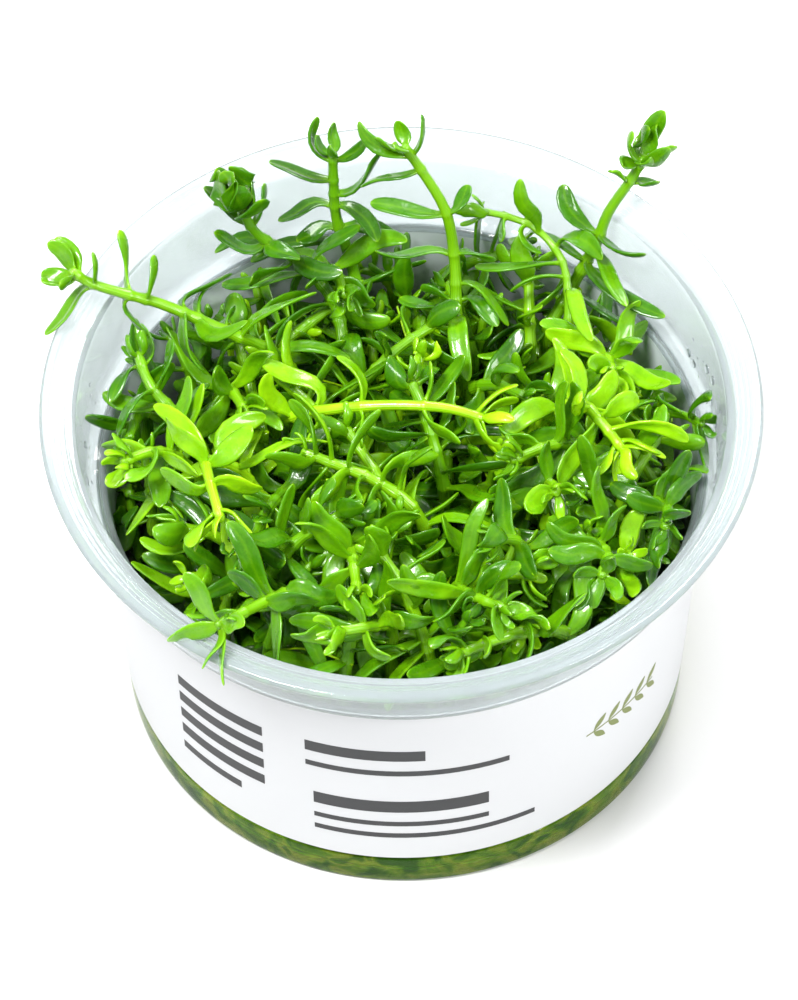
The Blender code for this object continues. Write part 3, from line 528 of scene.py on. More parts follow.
class Stem:
    """A stem's middle line with a frame that turns no more than the line does."""

    def __init__(self, route, phase, girth=1.0):
        self.girth = girth
        self.line = smooth_route(route)
        steps = np.linalg.norm(np.diff(self.line, axis=0), axis=1)
        self.lengths = np.concatenate([[0.0], np.cumsum(steps)])
        self.length = float(self.lengths[-1])
        tangents = np.gradient(self.line, axis=0)
        self.tangents = tangents / np.linalg.norm(tangents, axis=1)[:, None]
        side = np.cross(self.tangents[0], (math.cos(phase), math.sin(phase), 0.0))
        sides = []
        for tangent in self.tangents:
            side = side - tangent * side.dot(tangent)
            side = side / np.linalg.norm(side)
            sides.append(side)
        self.sides = np.array(sides)

    def at(self, s):
        """Point, tangent and side direction at arc length s."""
        blend = []
        for rows in (self.line, self.tangents, self.sides):
            blend.append(np.array([np.interp(s, self.lengths, rows[:, k]) for k in range(3)]))
        point, tangent, side = blend
        tangent = tangent / np.linalg.norm(tangent)
        side = side - tangent * side.dot(tangent)
        return point, tangent, side / np.linalg.norm(side)

    def leaf(self, s, k, tip, width):
        """A leaf that grows from face k at arc length s."""
        point, tangent, _ = self.at(s)
        out = self.outward(s, k)
        made = Leaf(point + out * self.radius(s) * STEM_FACE, out, tangent, tip, width)
        made.place = (s, k)
        return made

    def radius(self, s):
        """Stem radius at arc length s."""
        share = s / self.length
        return self.girth * (STEM_FOOT_RADIUS + (STEM_TIP_RADIUS - STEM_FOOT_RADIUS) * share)

    def outward(self, s, k):
        """Direction of the stem's face k at arc length s."""
        _, tangent, side = self.at(s)
        other = np.cross(tangent, side)
        return (side, other, -side, -other)[k]

    def corners(self, s, grow=0.0):
        """The stem's four corners at arc length s."""
        point, tangent, side = self.at(s)
        other = np.cross(tangent, side)
        reach = (self.radius(s) + grow) * 0.85
        return [point + reach * (a * side + b * other) for a, b in ((1, -1), (1, 1), (-1, 1), (-1, -1))]


def side_faces(ends, fresh):
    """Quads from four corners to the next four."""
    return [(ends[i], ends[(i + 1) % 4], fresh[(i + 1) % 4], fresh[i]) for i in range(4)]


class Leaf:
    """A leaf: its curved middle line from a base that it leaves squarely, and its upper side."""

    def __init__(self, base, out, upper, tip, width):
        self.base, self.out, self.upper, self.width = base, out, upper, width
        self.tip = np.array(tip, float)
        reach = np.linalg.norm(self.tip - base)
        self.middle = base + reach * (LEAF_LEAD * out + LEAF_LIFT * upper)

    def at(self, t):
        """Point on the middle line at t, with the directions along, across and up."""
        point = (1 - t) ** 2 * self.base + 2 * t * (1 - t) * self.middle + t ** 2 * self.tip
        along = (1 - t) * (self.middle - self.base) + t * (self.tip - self.middle)
        along = along / np.linalg.norm(along)
        up = self.upper - 0.1 * self.out
        up = up - along * up.dot(along)
        up = up / np.linalg.norm(up)
        return point, along, np.cross(up, along), up

    def section(self, t, grow=0.0):
        """The blade's four corners at t: low left, low right, high right, high left."""
        point, _, across, up = self.at(t)
        share = math.sin(0.5 * math.pi * min(0.25 + t / LEAF_WIDEST, 1.0))
        half = across * (0.5 * self.width * share + grow)
        rise = up * (0.5 * LEAF_THICKNESS + grow)
        return [point - half - rise, point + half - rise, point + half + rise, point - half + rise]

    def shell(self, ends, number, cuts, grow=0.0):
        """Points, numbered from number on, and faces from the four corners ends to the tip."""
        points = []
        faces = []
        for t in cuts:
            points += self.section(t, grow)
            fresh = range(number + len(points) - 4, number + len(points))
            faces += side_faces(ends, fresh)
            ends = fresh
        points.append(self.tip + self.at(1.0)[1] * grow)
        tip = number + len(points) - 1
        faces += [(ends[i], ends[(i + 1) % 4], tip) for i in range(4)]
        return points, faces

    def probe(self, cuts, grow):
        """The leaf alone, grown by a margin, as a closed shell."""
        start = self.section(0.1, grow)
        points, faces = self.shell(range(4), 4, cuts, grow)
        return start + points, [(3, 2, 1, 0)] + faces


def stem_probe(stem, low, high, grow):
    """A stretch of stem alone, grown by a margin, as a closed shell."""
    stations = np.linspace(low, high, max(2, int((high - low) / 2.5) + 1))
    points = [corner for s in stations for corner in stem.corners(s, grow)]
    last = len(points) - 4
    return points, bands(len(stations), 4) + [(3, 2, 1, 0), (last, last + 1, last + 2, last + 3)]


def surface_tree(points, faces):
    """Search tree of a shell's surface."""
    return BVHTree.FromPolygons([Vector(point) for point in points], faces)


class Space:
    """The surfaces placed so far, so that each new piece keeps clear of them."""

    def __init__(self):
        self.lows, self.highs, self.trees = [], [], []

    def add(self, shell):
        grid = np.array(shell[0])
        self.lows.append(grid.min(axis=0))
        self.highs.append(grid.max(axis=0))
        self.trees.append(surface_tree(*shell))

    def meets(self, shell):
        """True when a shell crosses any placed surface."""
        if not self.trees:
            return False
        grid = np.array(shell[0])
        near = (np.array(self.lows) < grid.max(axis=0)) & (np.array(self.highs) > grid.min(axis=0))
        tree = surface_tree(*shell)
        return any(tree.overlap(self.trees[index]) for index in np.flatnonzero(near.all(axis=1)))


def leaf_fits(space, own, leaf, cuts):
    """True when a leaf clears the tub, the other stems and the rest of its own stem."""
    grown = leaf.probe(cuts, GAP)
    spine = [leaf.at(t)[0] for t in (0.3, 0.5, 0.7, 0.9)]
    if not all(clears_tub(point) for point in grown[0][4:] + spine):
        return False
    bare = leaf.probe(cuts, 0.08)
    return not space.meets(grown) and not own.meets(bare)


def plant_stem(space, route, wanted, cuts, least, phase=0.0, girth=1.0):
    """A stem, the leaves of it that fit and their shell, or nothing where too little fits."""
    stem = Stem(route, phase, girth)
    grown = stem_probe(stem, 0.0, stem.length, GAP)
    if not all(clears_tub(point) for point in grown[0]) or space.meets(grown):
        return None
    leaves = []
    shells = []
    for s, k, width, tips in wanted(stem):
        own = Space()
        for low, high in ((0.0, s - LEAF_CLEAR), (s + LEAF_CLEAR, stem.length)):
            if high - low > 1.0:
                own.add(stem_probe(stem, low, high, 0.0))
        for shell in shells:
            own.add(shell)
        for tip in tips:
            leaf = stem.leaf(s, k, tip, width)
            if leaf_fits(space, own, leaf, cuts):
                leaves.append(leaf)
                shells.append(leaf.probe(cuts, 0.0))
                break
    shell = stem_mesh(stem, leaves, cuts)
    if len(leaves) < least or space.meets(shell):
        return None
    return stem, leaves, shell


def leaves_by_hand(listed, rng):
    """Leaves whose tips were seen, each on the free face of its node that looks most its way."""
    def wanted(stem):
        taken = set()
        for back, tip, width in listed:
            s = stem.length - back
            way = np.array(tip) - stem.at(s)[0]
            faces = [k for k in range(4) if (s, k) not in taken]
            k = max(faces, key=lambda face: way.dot(stem.outward(s, face)))
            taken.add((s, k))
            jitter = [[rng.uniform(-1.5, 1.5) for _ in range(3)] for _ in range(8)]
            yield s, k, width, [tip] + [np.array(tip) + shift for shift in jitter]
    return wanted


def leaf_way(stem, s, k, rise, spread, rng):
    """The way a leaf points from the stem's face k: raised towards the stem's tip, and a little off."""
    way = stem.outward(s, k) * math.cos(rise) + stem.at(s)[1] * math.sin(rise)
    way = way + np.array([rng.uniform(-spread, spread) for _ in range(3)])
    return way / np.linalg.norm(way)


def leaves_by_rule(rng, most):
    """Opposite pairs, each turned a quarter from the last, closer and shorter to the stem's tip."""
    def wanted(stem):
        s = stem.length - 1.5
        for node in range(most // 2):
            length = min(6.0 + 2.4 * node, 11.5)
            rise = max(0.9 - 0.28 * node, 0.15)
            for k in (node % 2, node % 2 + 2):
                tips = []
                for _ in range(14):
                    way = leaf_way(stem, s, k, rise, 0.45, rng)
                    tips.append(stem.at(s)[0] + way * length * rng.uniform(0.75, 1.12))
                yield s, k, LEAF_WIDTH * rng.uniform(0.75, 1.05), tips
            s -= 2.6 + 1.1 * node + rng.uniform(0.0, 1.2)
            if s < 4.0:
                return
    return wanted


def stem_mesh(stem, leaves, cuts):
    """One closed body: a four-sided stem whose faces grow out into its leaves."""
    half = NODE_HALF_HEIGHT
    stations = [0.0]
    for s in sorted({leaf.place[0] for leaf in leaves}):
        spans = max(1, round((s - half - stations[-1]) / STEM_STEP))
        stations += list(np.linspace(stations[-1], s - half, spans + 1))[1:] + [s + half]
    points = [corner for s in stations for corner in stem.corners(s)]
    grown = {(stations.index(leaf.place[0] + half) - 1, leaf.place[1]): leaf for leaf in leaves}
    apex = len(points)
    points.append(stem.at(stem.length)[0] + 0.5 * stem.at(stem.length)[1])
    faces = [(3, 2, 1, 0)] + [(apex - 4 + k, apex - 4 + (k + 1) % 4, apex) for k in range(4)]
    for row in range(len(stations) - 1):
        for k, face in enumerate(side_faces(range(4 * row, 4 * row + 4), range(4 * row + 4, 4 * row + 8))):
            leaf = grown.get((row, k))
            if leaf is None:
                faces.append(face)
                continue
            blade = leaf.shell(face, len(points), cuts)
            points += blade[0]
            faces += blade[1]
    return points, faces


def canopy(x, y):
    """Height that the stems' tips reach over a place: lower towards the back wall."""
    return CANOPY_MIDDLE - BACK_FALL * max(y, 0.0) + FRONT_RISE * max(-y, 0.0)


def standing(x, y, z):
    """The foot of a stem, which leaves the tangle upright."""
    return [(x, y, z), (x, y, z + 2.0)]


def fill_route(rng, index, floor):
    """A stem that stands up from the tangle, then leans over."""
    reach = FILL_REACH * math.sqrt((index + 0.5) / FILL_STEMS)
    angle = index * GOLDEN_ANGLE
    x = reach * math.cos(angle) + rng.uniform(-4.0, 4.0)
    y = reach * math.sin(angle) + rng.uniform(-4.0, 4.0)
    lean = rng.uniform(0.0, 2 * math.pi)
    drift = rng.uniform(7.0, 20.0)
    dx, dy = drift * math.cos(lean), drift * math.sin(lean)
    foot = floor(x, y)
    top = canopy(x + dx, y + dy) + rng.uniform(-5.0, 1.5)
    rise = top - foot
    return standing(x, y, foot) + [(x + 0.2 * dx, y + 0.2 * dy, foot + 0.55 * rise),
                                   (x + 0.55 * dx, y + 0.55 * dy, foot + 0.88 * rise),
                                   (x + dx, y + dy, top)]


def grow():
    """The tangle and every stem: first the listed stems, then the ones between them."""
    rng = random.Random(SEED)
    tangle = tangle_mesh(rng)
    mound = (tangle[0], split(tangle[1]))
    ground = surface_tree(*mound)

    def floor(x, y):
        hits = [ground.ray_cast(Vector((x + dx, y + dy, 90.0)), Vector((0, 0, -1)))[0]
                for dx in (-1, 0, 1) for dy in (-1, 0, 1)]
        return max([hit.z for hit in hits if hit] + [tangle_height(x, y)]) + 2 * GAP

    by_hand = Space()
    space = Space()
    space.add(mound)
    grown = {}
    for name, design in STEMS_BY_HAND.items():
        x, y = design["foot"]
        route = standing(x, y, floor(x, y)) + design["route"]
        wanted = leaves_by_hand(design["leaves"], rng)
        grown[name] = plant_stem(space, route, wanted, CUTS_BY_HAND, len(design["leaves"]) - 2,
                                 girth=design.get("girth", 1.0))
        if grown[name] is None:
            raise RuntimeError(f"{name} has no room")
        space.add(grown[name][2])
        by_hand.add(grown[name][2])
    raised = tangle_leaves(rng, tangle, by_hand)
    for number, leaf in raised.items():
        space.add(leaf.probe(FILL_CUTS, 0.0))
        space.add(raised_patch(tangle[0], tangle[1][number], leaf))
    waiting = list(range(FILL_STEMS))
    for index in waiting * FILL_TRIES:
        if index not in waiting:
            continue
        route = fill_route(rng, index, floor)
        wanted = leaves_by_rule(rng, FILL_LEAVES)
        plant = plant_stem(space, route, wanted, FILL_CUTS, FILL_LEAST, rng.uniform(0.0, math.pi))
        if plant:
            grown[f"stem_{len(grown) + 1:02d}"] = plant
            space.add(plant[2])
            waiting.remove(index)
    return tangle, raised, grown


class Rails:
    """Middle lines of leaves and stems, with the sizes and shades that the sweep reads."""

    def __init__(self):
        self.points, self.edges = [], []
        self.values = {name: [] for name in ("up", "reach", "thick", "fold", "spine", "tint", "patch",
                                             "blade")}

    def add(self, line, up, reach, thick, fold, tint, patch, blade):
        """One line; reach, thick and up have a value for each point, the rest one for the line."""
        first = len(self.points)
        count = len(line)
        self.points += [tuple(float(c) * MM for c in point) for point in line]
        self.edges += [(first + i, first + i + 1) for i in range(count - 1)]
        self.values["up"] += [tuple(float(c) for c in direction) for direction in up]
        self.values["reach"] += [float(r) * MM for r in reach]
        self.values["thick"] += [float(t) * MM for t in thick]
        self.values["fold"] += [fold] * count
        self.values["spine"] += list(np.linspace(0.0, 1.0, count))
        self.values["tint"] += [tint] * count
        self.values["patch"] += [patch] * count
        self.values["blade"] += [blade] * count

    def mesh(self, name):
        """The lines as a mesh of edges that carries the values."""
        made = bpy.data.meshes.new(name)
        made.from_pydata(self.points, self.edges, [])
        for key, rows in self.values.items():
            if key == "up":
                layer = made.attributes.new(key, "FLOAT_VECTOR", "POINT")
                layer.data.foreach_set("vector", np.array(rows, np.float32).ravel())
            else:
                layer = made.attributes.new(key, "FLOAT", "POINT")
                layer.data.foreach_set("value", np.array(rows, np.float32))
        return made


def turned(direction, axis, angle):
    """A direction turned round an axis."""
    return (direction * math.cos(angle) + np.cross(axis, direction) * math.sin(angle)
            + axis * axis.dot(direction) * (1 - math.cos(angle)))


def polar(reach, angle):
    """A place by its distance from the middle and its direction."""
    return reach * math.cos(angle), reach * math.sin(angle)


def in_tub(point, margin=0.5):
    """The point, moved in where it would pass through the tub's wall."""
    radius = math.hypot(point[0], point[1])
    if point[2] > MOUTH_HEIGHT:
        return point
    limit = inner_radius(point[2]) - margin
    if radius <= limit or radius > RIM_RADIUS:
        return point
    return np.array([point[0] * limit / radius, point[1] * limit / radius, point[2]])


def leaf_rail(rails, leaf, rng, tint, size, width=1.0):
    """The leaf's own line, a little twisted, waved and curled, with the blade's outline on it."""
    length = np.linalg.norm(leaf.tip - leaf.base)
    twist = rng.uniform(-1.1, 1.1)
    wave = rng.uniform(-0.08, 0.08) * length
    curl = rng.uniform(-0.22, 0.1) * length
    line, ups = [], []
    for t in LEAF_STATIONS:
        point, along, across, up = leaf.at(t)
        point = point + across * wave * math.sin(2 * math.pi * t) + up * curl * math.sin(2.6 * t) * t
        point[2] = min(point[2], TALLEST)
        line.append(in_tub(point))
        ups.append(turned(up, along, twist * t))
    reach = [0.5 * leaf.width * width * share for share in LEAF_OUTLINE]
    thick = [0.5 * LEAF_THICKNESS * size * share for share in LEAF_BODY]
    rails.add(line, ups, reach, thick, rng.uniform(0.0, 0.22), tint, rng.random(), 1.0)


def stem_rail(rails, stem, nodes, rng, tint, depth):
    """The stem's line from down in the old growth up to its tip, swollen at each node."""
    stations = set(np.arange(0.0, stem.length, STEM_SPACING))
    for s in nodes:
        stations |= {s - 0.9, s - 0.35, s, s + 0.35}
    end = stem.length - TIP_CUT
    stations = sorted(s for s in stations if 0.0 <= s < end) + [end]
    line, ups, reach = [], [], []
    foot = stem.at(0.0)[0]
    for drop in (depth, 0.66 * depth, 0.33 * depth):
        line.append(in_tub(foot - np.array([0.0, 0.0, drop]), 1.4))
        ups.append(stem.at(0.0)[2])
        reach.append(STEM_FOOT_RADIUS)
    for s in stations:
        point, _, side = stem.at(s)
        swell = max([1.0] + [1.0 + (NODE_SWELL - 1.0) * math.exp(-((s - n) / 0.4) ** 2) for n in nodes])
        line.append(point)
        ups.append(side)
        reach.append(stem.radius(s) * swell * 0.95)
    line.append(stem.at(stem.length)[0])
    ups.append(ups[-1])
    reach.append(reach[-1] * 0.45)
    rails.add(line, ups, reach, reach, 0.0, tint, rng.random(), 0.0)


def young_leaves(rails, stem, s, count, length, width, lean, rng, tint):
    """Small leaves close round the stem at arc length s, folded up towards its tip."""
    point, tangent, _ = stem.at(s)
    for index in range(count):
        k = (index * 2 + index // 2) % 4
        rise = rng.uniform(1.25, 1.5) - lean * rng.uniform(0.6, 1.0)
        way = leaf_way(stem, s, k, rise, 0.15, rng)
        reach = length * rng.uniform(0.75, 1.1) * (1.0 - 0.06 * index)
        out = stem.outward(s, k)
        leaf = Leaf(point + out * stem.radius(s) * 0.7, out, tangent, point + way * reach,
                    width * rng.uniform(0.85, 1.1))
        leaf_rail(rails, leaf, rng, tint, 0.8)


class Crowd:
    """Placed shells in a grid of cells, so that a new one is held only against its neighbours."""

    def __init__(self, size=6.0):
        self.size, self.cells, self.trees = size, {}, []

    def near(self, shell):
        """The cells that a shell may touch."""
        grid = np.array(shell[0]) / self.size
        low, high = np.floor(grid.min(axis=0)).astype(int), np.floor(grid.max(axis=0)).astype(int)
        return [(i, j, k) for i in range(low[0], high[0] + 1) for j in range(low[1], high[1] + 1)
                for k in range(low[2], high[2] + 1)]

    def add(self, shell):
        for cell in self.near(shell):
            self.cells.setdefault(cell, []).append(len(self.trees))
        self.trees.append(surface_tree(*shell))

    def meets(self, shell):
        """True when a shell crosses any placed surface."""
        others = {index for cell in self.near(shell) for index in self.cells.get(cell, ())}
        tree = surface_tree(*shell)
        return any(tree.overlap(self.trees[index]) for index in others)


def outer_blade(leaf):
    """The outer three quarters of a leaf as a closed shell."""
    points = [corner for t in (0.28, 0.6, 0.93) for corner in leaf.section(t)]
    return points, bands(3, 4) + [(3, 2, 1, 0), (8, 9, 10, 11)]


def free_leaf(crowd, stem, s, k, length, rise, rng):
    """A leaf from face k of the stem at arc length s that clears its neighbours, or nothing."""
    point = stem.at(s)[0]
    for attempt in range(LEAF_TRIES):
        way = leaf_way(stem, s, k, rise, 0.25 + 0.1 * attempt, rng)
        reach = length * rng.uniform(0.8, 1.1) * (1.0 - 0.04 * attempt)
        leaf = stem.leaf(s, k, point + way * reach, LEAF_WIDTH * rng.uniform(0.72, 1.0))
        blade = outer_blade(leaf)
        if all(clears_tub(corner) for corner in blade[0]) and not crowd.meets(blade):
            crowd.add(blade)
            return leaf
    return None


def leafy_stem(rails, crowd, stem, taken, ceiling, rng, tint):
    """Opposite pairs of leaves wherever the stem has none yet and there is room for them."""
    added = []
    turn = rng.choice((0, 1))
    s = stem.length - 2.2
    while s > 1.2:
        crowded = any(abs(s - node) < 1.9 for node in taken)
        if crowded or stem.at(s)[0][2] > ceiling:
            s -= 0.7
            continue
        young = (stem.length - s) / 12.0
        for k in (turn % 2, turn % 2 + 2):
            rise = 0.85 - 0.6 * young + rng.uniform(-0.35, 0.35)
            leaf = free_leaf(crowd, stem, s, k, min(9.5 + 4.0 * young, 13.0), rise, rng)
            if leaf:
                leaf_rail(rails, leaf, rng, tint + rng.uniform(-0.14, 0.14), 1.0)
        added.append(s)
        turn += 1
        s -= rng.uniform(2.8, 4.2)
    return added


def fine_plant(name, plant, crowd, rng, tint):
    """Rails for one stem with its leaves, more leaves between them and its tip's young leaves."""
    stem, leaves, _ = plant
    rails = Rails()
    nodes = sorted({leaf.place[0] for leaf in leaves})
    wider = WIDER.get(name, 1.08)
    for leaf in leaves:
        share = leaf.place[0] / stem.length
        # Leaves lower on the stem get a darker tint: partly older, partly painted shade of their depth
        leaf_rail(rails, leaf, rng, tint * (0.6 + 0.4 * share) + rng.uniform(-0.1, 0.12), 1.0, wider)
    count, length, width, lean = TIPS.get(name, (4, 4.2, 1.5, 0.6))
    young_leaves(rails, stem, stem.length - 0.6, count, length, width, lean, rng, min(tint + 0.08, 1.0))
    added = leafy_stem(rails, crowd, stem, nodes, LEAFY_BELOW.get(name, CANOPY_MIDDLE + 2.0), rng, tint)
    stem_rail(rails, stem, nodes + added, rng, tint, ROOT_DEPTH)
    return rails


def surface_height(tree, x, y, otherwise):
    """Height of the surface over a place, or the other value past its edge."""
    hit = tree.ray_cast(Vector((x, y, 90.0)), Vector((0, 0, -1)))[0]
    return hit.z if hit else otherwise


def small_shoots(mound, crowd, rng):
    """Rails of short side shoots that fill the gaps between the young stems."""
    rails = Rails()
    tree = surface_tree(*mound)
    for index in range(SHOOTS):
        for _ in range(SHOOT_TRIES):
            reach = FILL_REACH * math.sqrt((index + rng.random()) / SHOOTS)
            x, y = polar(reach, index * GOLDEN_ANGLE + rng.uniform(-0.2, 0.2))
            foot = surface_height(tree, x, y, tangle_height(x, y)) - 2.0
            lean = rng.uniform(0.0, 2 * math.pi)
            dx, dy = polar(rng.uniform(2.0, 11.0), lean)
            rise = canopy(x + dx, y + dy) - rng.uniform(1.0, 8.0) - 0.2 * max(y + dy - 15.0, 0.0) - foot
            route = [(x, y, foot), (x + 0.15 * dx, y + 0.15 * dy, foot + 0.4 * rise),
                     (x + 0.5 * dx, y + 0.5 * dy, foot + 0.8 * rise), (x + dx, y + dy, foot + rise)]
            stem = Stem(route, rng.uniform(0.0, math.pi), SHOOT_GIRTH)
            shell = stem_probe(stem, 4.0, stem.length, 0.1)
            if all(clears_tub(point) for point in shell[0]) and not crowd.meets(shell):
                crowd.add(shell)
                tint = rng.uniform(0.2, 0.75)
                nodes = leafy_stem(rails, crowd, stem, [], 90.0, rng, tint)
                young_leaves(rails, stem, stem.length - 0.5, 4, 3.8, 1.4, 0.6, rng, tint + 0.1)
                stem_rail(rails, stem, nodes, rng, tint, 3.0)
                break
    return rails


def old_growth(mound, raised, rng):
    """Rails of the older stems and leaves that fill the tub within the mound's form."""
    rails = Rails()
    # Old leaves and stems get dark tints: partly older, partly painted shade of the depth they lie at
    for leaf in raised.values():
        leaf_rail(rails, leaf, rng, rng.uniform(0.2, 0.6), 1.0)
    tree = surface_tree(*mound)
    for index in range(OLD_STEMS):
        x, y = polar(OLD_REACH * math.sqrt((index + 0.5) / OLD_STEMS), index * GOLDEN_ANGLE)
        lean = rng.uniform(0.0, 2 * math.pi)
        dx, dy = polar(rng.uniform(3.0, 14.0), lean)
        top = in_tub(np.array([x + dx, y + dy, 40.0]), OLD_MARGIN)
        top[2] = surface_height(tree, top[0], top[1], OLD_EDGE) - rng.uniform(0.0, 2.0)
        route = [(x, y, 16.0), (x + 0.1 * dx, y + 0.1 * dy, 24.0),
                 (x + 0.45 * dx, y + 0.45 * dy, 0.75 * top[2] + 3.0), tuple(top)]
        route = [tuple(in_tub(np.array(point), OLD_MARGIN)) for point in route]
        stem = Stem(route, rng.uniform(0.0, 3.0))
        nodes = []
        s = stem.length - 0.8
        turn = 0
        while s > stem.length - OLD_LEAFY:
            nodes.append(s)
            for k in (turn % 2, turn % 2 + 2):
                way = leaf_way(stem, s, k, rng.uniform(-0.1, 0.6), 0.3, rng)
                tip = stem.at(s)[0] + way * rng.uniform(7.5, 12.0)
                ceiling = surface_height(tree, tip[0], tip[1], OLD_EDGE)
                tip[2] = min(tip[2], ceiling + rng.uniform(0.0, 2.5))
                leaf = stem.leaf(s, k, in_tub(tip, 0.7), LEAF_WIDTH * rng.uniform(0.8, 1.1))
                leaf_rail(rails, leaf, rng, rng.uniform(0.1, 0.5), 1.0)
            turn += 1
            s -= rng.uniform(3.4, 5.2)
        stem_rail(rails, stem, nodes, rng, 0.25, 3.0)
    return rails


def flat_blade(rails, line, ups, width, tint, patch):
    """A nearly flat leaf along a line, with the blade's outline on it."""
    rails.add(line, ups, [0.5 * width * share for share in LEAF_OUTLINE],
              [0.5 * LEAF_THICKNESS * share for share in LEAF_BODY], 0.05, tint, patch, 1.0)


def wall_leaves(rails, rng):
    """Leaves in the jelly, flat against the tub's clear foot under the label, all the way round."""
    for index in range(WALL_LEAVES):
        turn_at = 2 * math.pi * (index + rng.random()) / WALL_LEAVES
        layer = index % len(WALL_LAYERS)
        height = [rng.uniform(*heights) for heights in WALL_LAYERS][layer]
        lean = rng.uniform(-0.9, 0.9)
        length = rng.uniform(6.0, 11.0)
        width = rng.uniform(2.4, 3.4)
        line, ups = [], []
        for t in LEAF_STATIONS:
            z = height + length * (t - 0.5) * math.sin(lean)
            z = min(max(z, 1.4 + 0.3 * width), WALL_LEAF_TOP)
            turn = turn_at + (t - 0.5) * length * math.cos(lean) / WALL_TURN_RADIUS
            radius = inner_radius(z) - 0.6 - 0.45 * layer
            line.append(np.array([radius * math.cos(turn), radius * math.sin(turn), z]))
            ups.append((math.cos(turn), math.sin(turn), 0.0))
        flat_blade(rails, line, ups, width, rng.uniform(0.25, 0.75), rng.random())


def floor_leaves(rails, rng):
    """Leaves in the jelly, flat on the tub's floor, just inside its clear foot."""
    for index in range(FLOOR_LEAVES):
        turn_at = 2 * math.pi * (index + rng.random()) / FLOOR_LEAVES
        reach = rng.uniform(33.5, 37.2)
        heading = turn_at + rng.uniform(0.9, 2.2)
        length = rng.uniform(6.0, 10.0)
        width = rng.uniform(2.6, 3.4)
        z = rng.uniform(1.75, 2.7)
        line = []
        for t in LEAF_STATIONS:
            x = reach * math.cos(turn_at) + (t - 0.5) * length * math.cos(heading)
            y = reach * math.sin(turn_at) + (t - 0.5) * length * math.sin(heading)
            held = min(1.0, FLOOR_LEAF_REACH / math.hypot(x, y))
            line.append(np.array([held * x, held * y, z]))
        flat_blade(rails, line, [(0.0, 0.0, 1.0)] * len(line), width, rng.uniform(0.35, 0.85), rng.random())


def rootlet_rails(rng):
    """Thin pale roots that wander over the old growth."""
    rails = Rails()
    for _ in range(ROOTLETS):
        angle = rng.uniform(0.0, 2 * math.pi)
        x, y = polar(rng.uniform(4.0, 36.0), angle)
        heading = rng.uniform(0.0, 2 * math.pi)
        route = []
        for step in range(5):
            route.append((x, y, tangle_height(x, y) - 3.0 + 2.2 * step + rng.uniform(-1.0, 1.0)))
            heading += rng.uniform(-0.7, 0.7)
            x += ROOTLET_STEP * math.cos(heading)
            y += ROOTLET_STEP * math.sin(heading)
        line = [in_tub(point) for point in smooth_route(route, 4)]
        girth = [ROOTLET_RADIUS] * len(line)
        rails.add(line, [(0.0, 0.0, 1.0)] * len(line), girth, girth, 0.0, 0.9, rng.random(), 0.0)
    return rails


class Tree:
    """A node tree under construction, with short ways to add and join nodes."""

    def __init__(self, tree):
        self.tree = tree

    def add(self, kind, links=None, **settings):
        """A node with its settings; links gives an input a value or another node's output."""
        node = self.tree.nodes.new(kind)
        for name, value in settings.items():
            setattr(node, name, value)
        for name, value in (links or {}).items():
            self.fill(node.inputs[name], value)
        return node

    def fill(self, socket, value):
        """Gives an input a value or another node's output."""
        if isinstance(value, bpy.types.NodeSocket):
            self.tree.links.new(value, socket)
        else:
            socket.default_value = value

    def math(self, operation, *values):
        """The output of a Math node."""
        return self.add("ShaderNodeMath", dict(enumerate(values)), operation=operation).outputs[0]

    def named(self, name, data_type="FLOAT"):
        """The output of a Named Attribute node."""
        return self.add("GeometryNodeInputNamedAttribute", {"Name": name},
                        data_type=data_type).outputs["Attribute"]

    def vector(self, x, y, z):
        """The output of a Combine XYZ node."""
        return self.add("ShaderNodeCombineXYZ", {"X": x, "Y": y, "Z": z}).outputs[0]

    def bell(self, value):
        """One where a value is zero, falling off to both sides."""
        return self.math("EXPONENT", self.math("MULTIPLY", self.math("MULTIPLY", value, value), -1.0))

    def carried(self, name):
        """A value that the mesh carries, for a material."""
        return self.add("ShaderNodeAttribute", attribute_name=name).outputs["Fac"]

    def noise(self, scale, detail, distortion=0.0):
        """The output of a Noise Texture that is fixed to the object."""
        place = self.add("ShaderNodeTexCoord").outputs["Object"]
        return self.add("ShaderNodeTexNoise", {"Vector": place, "Scale": scale, "Detail": detail,
                                               "Distortion": distortion}).outputs[0]

    def bump(self, height, strength, distance):
        """The normal of a Bump node."""
        return self.add("ShaderNodeBump", {"Height": height, "Strength": strength,
                                           "Distance": distance}).outputs[0]

    def shade(self, kind="Principled BSDF", **values):
        """Fills the shader's inputs by name; an underscore stands for a space."""
        for name, value in values.items():
            self.fill(self.tree.nodes[kind].inputs[name.replace("_", " ")], value)


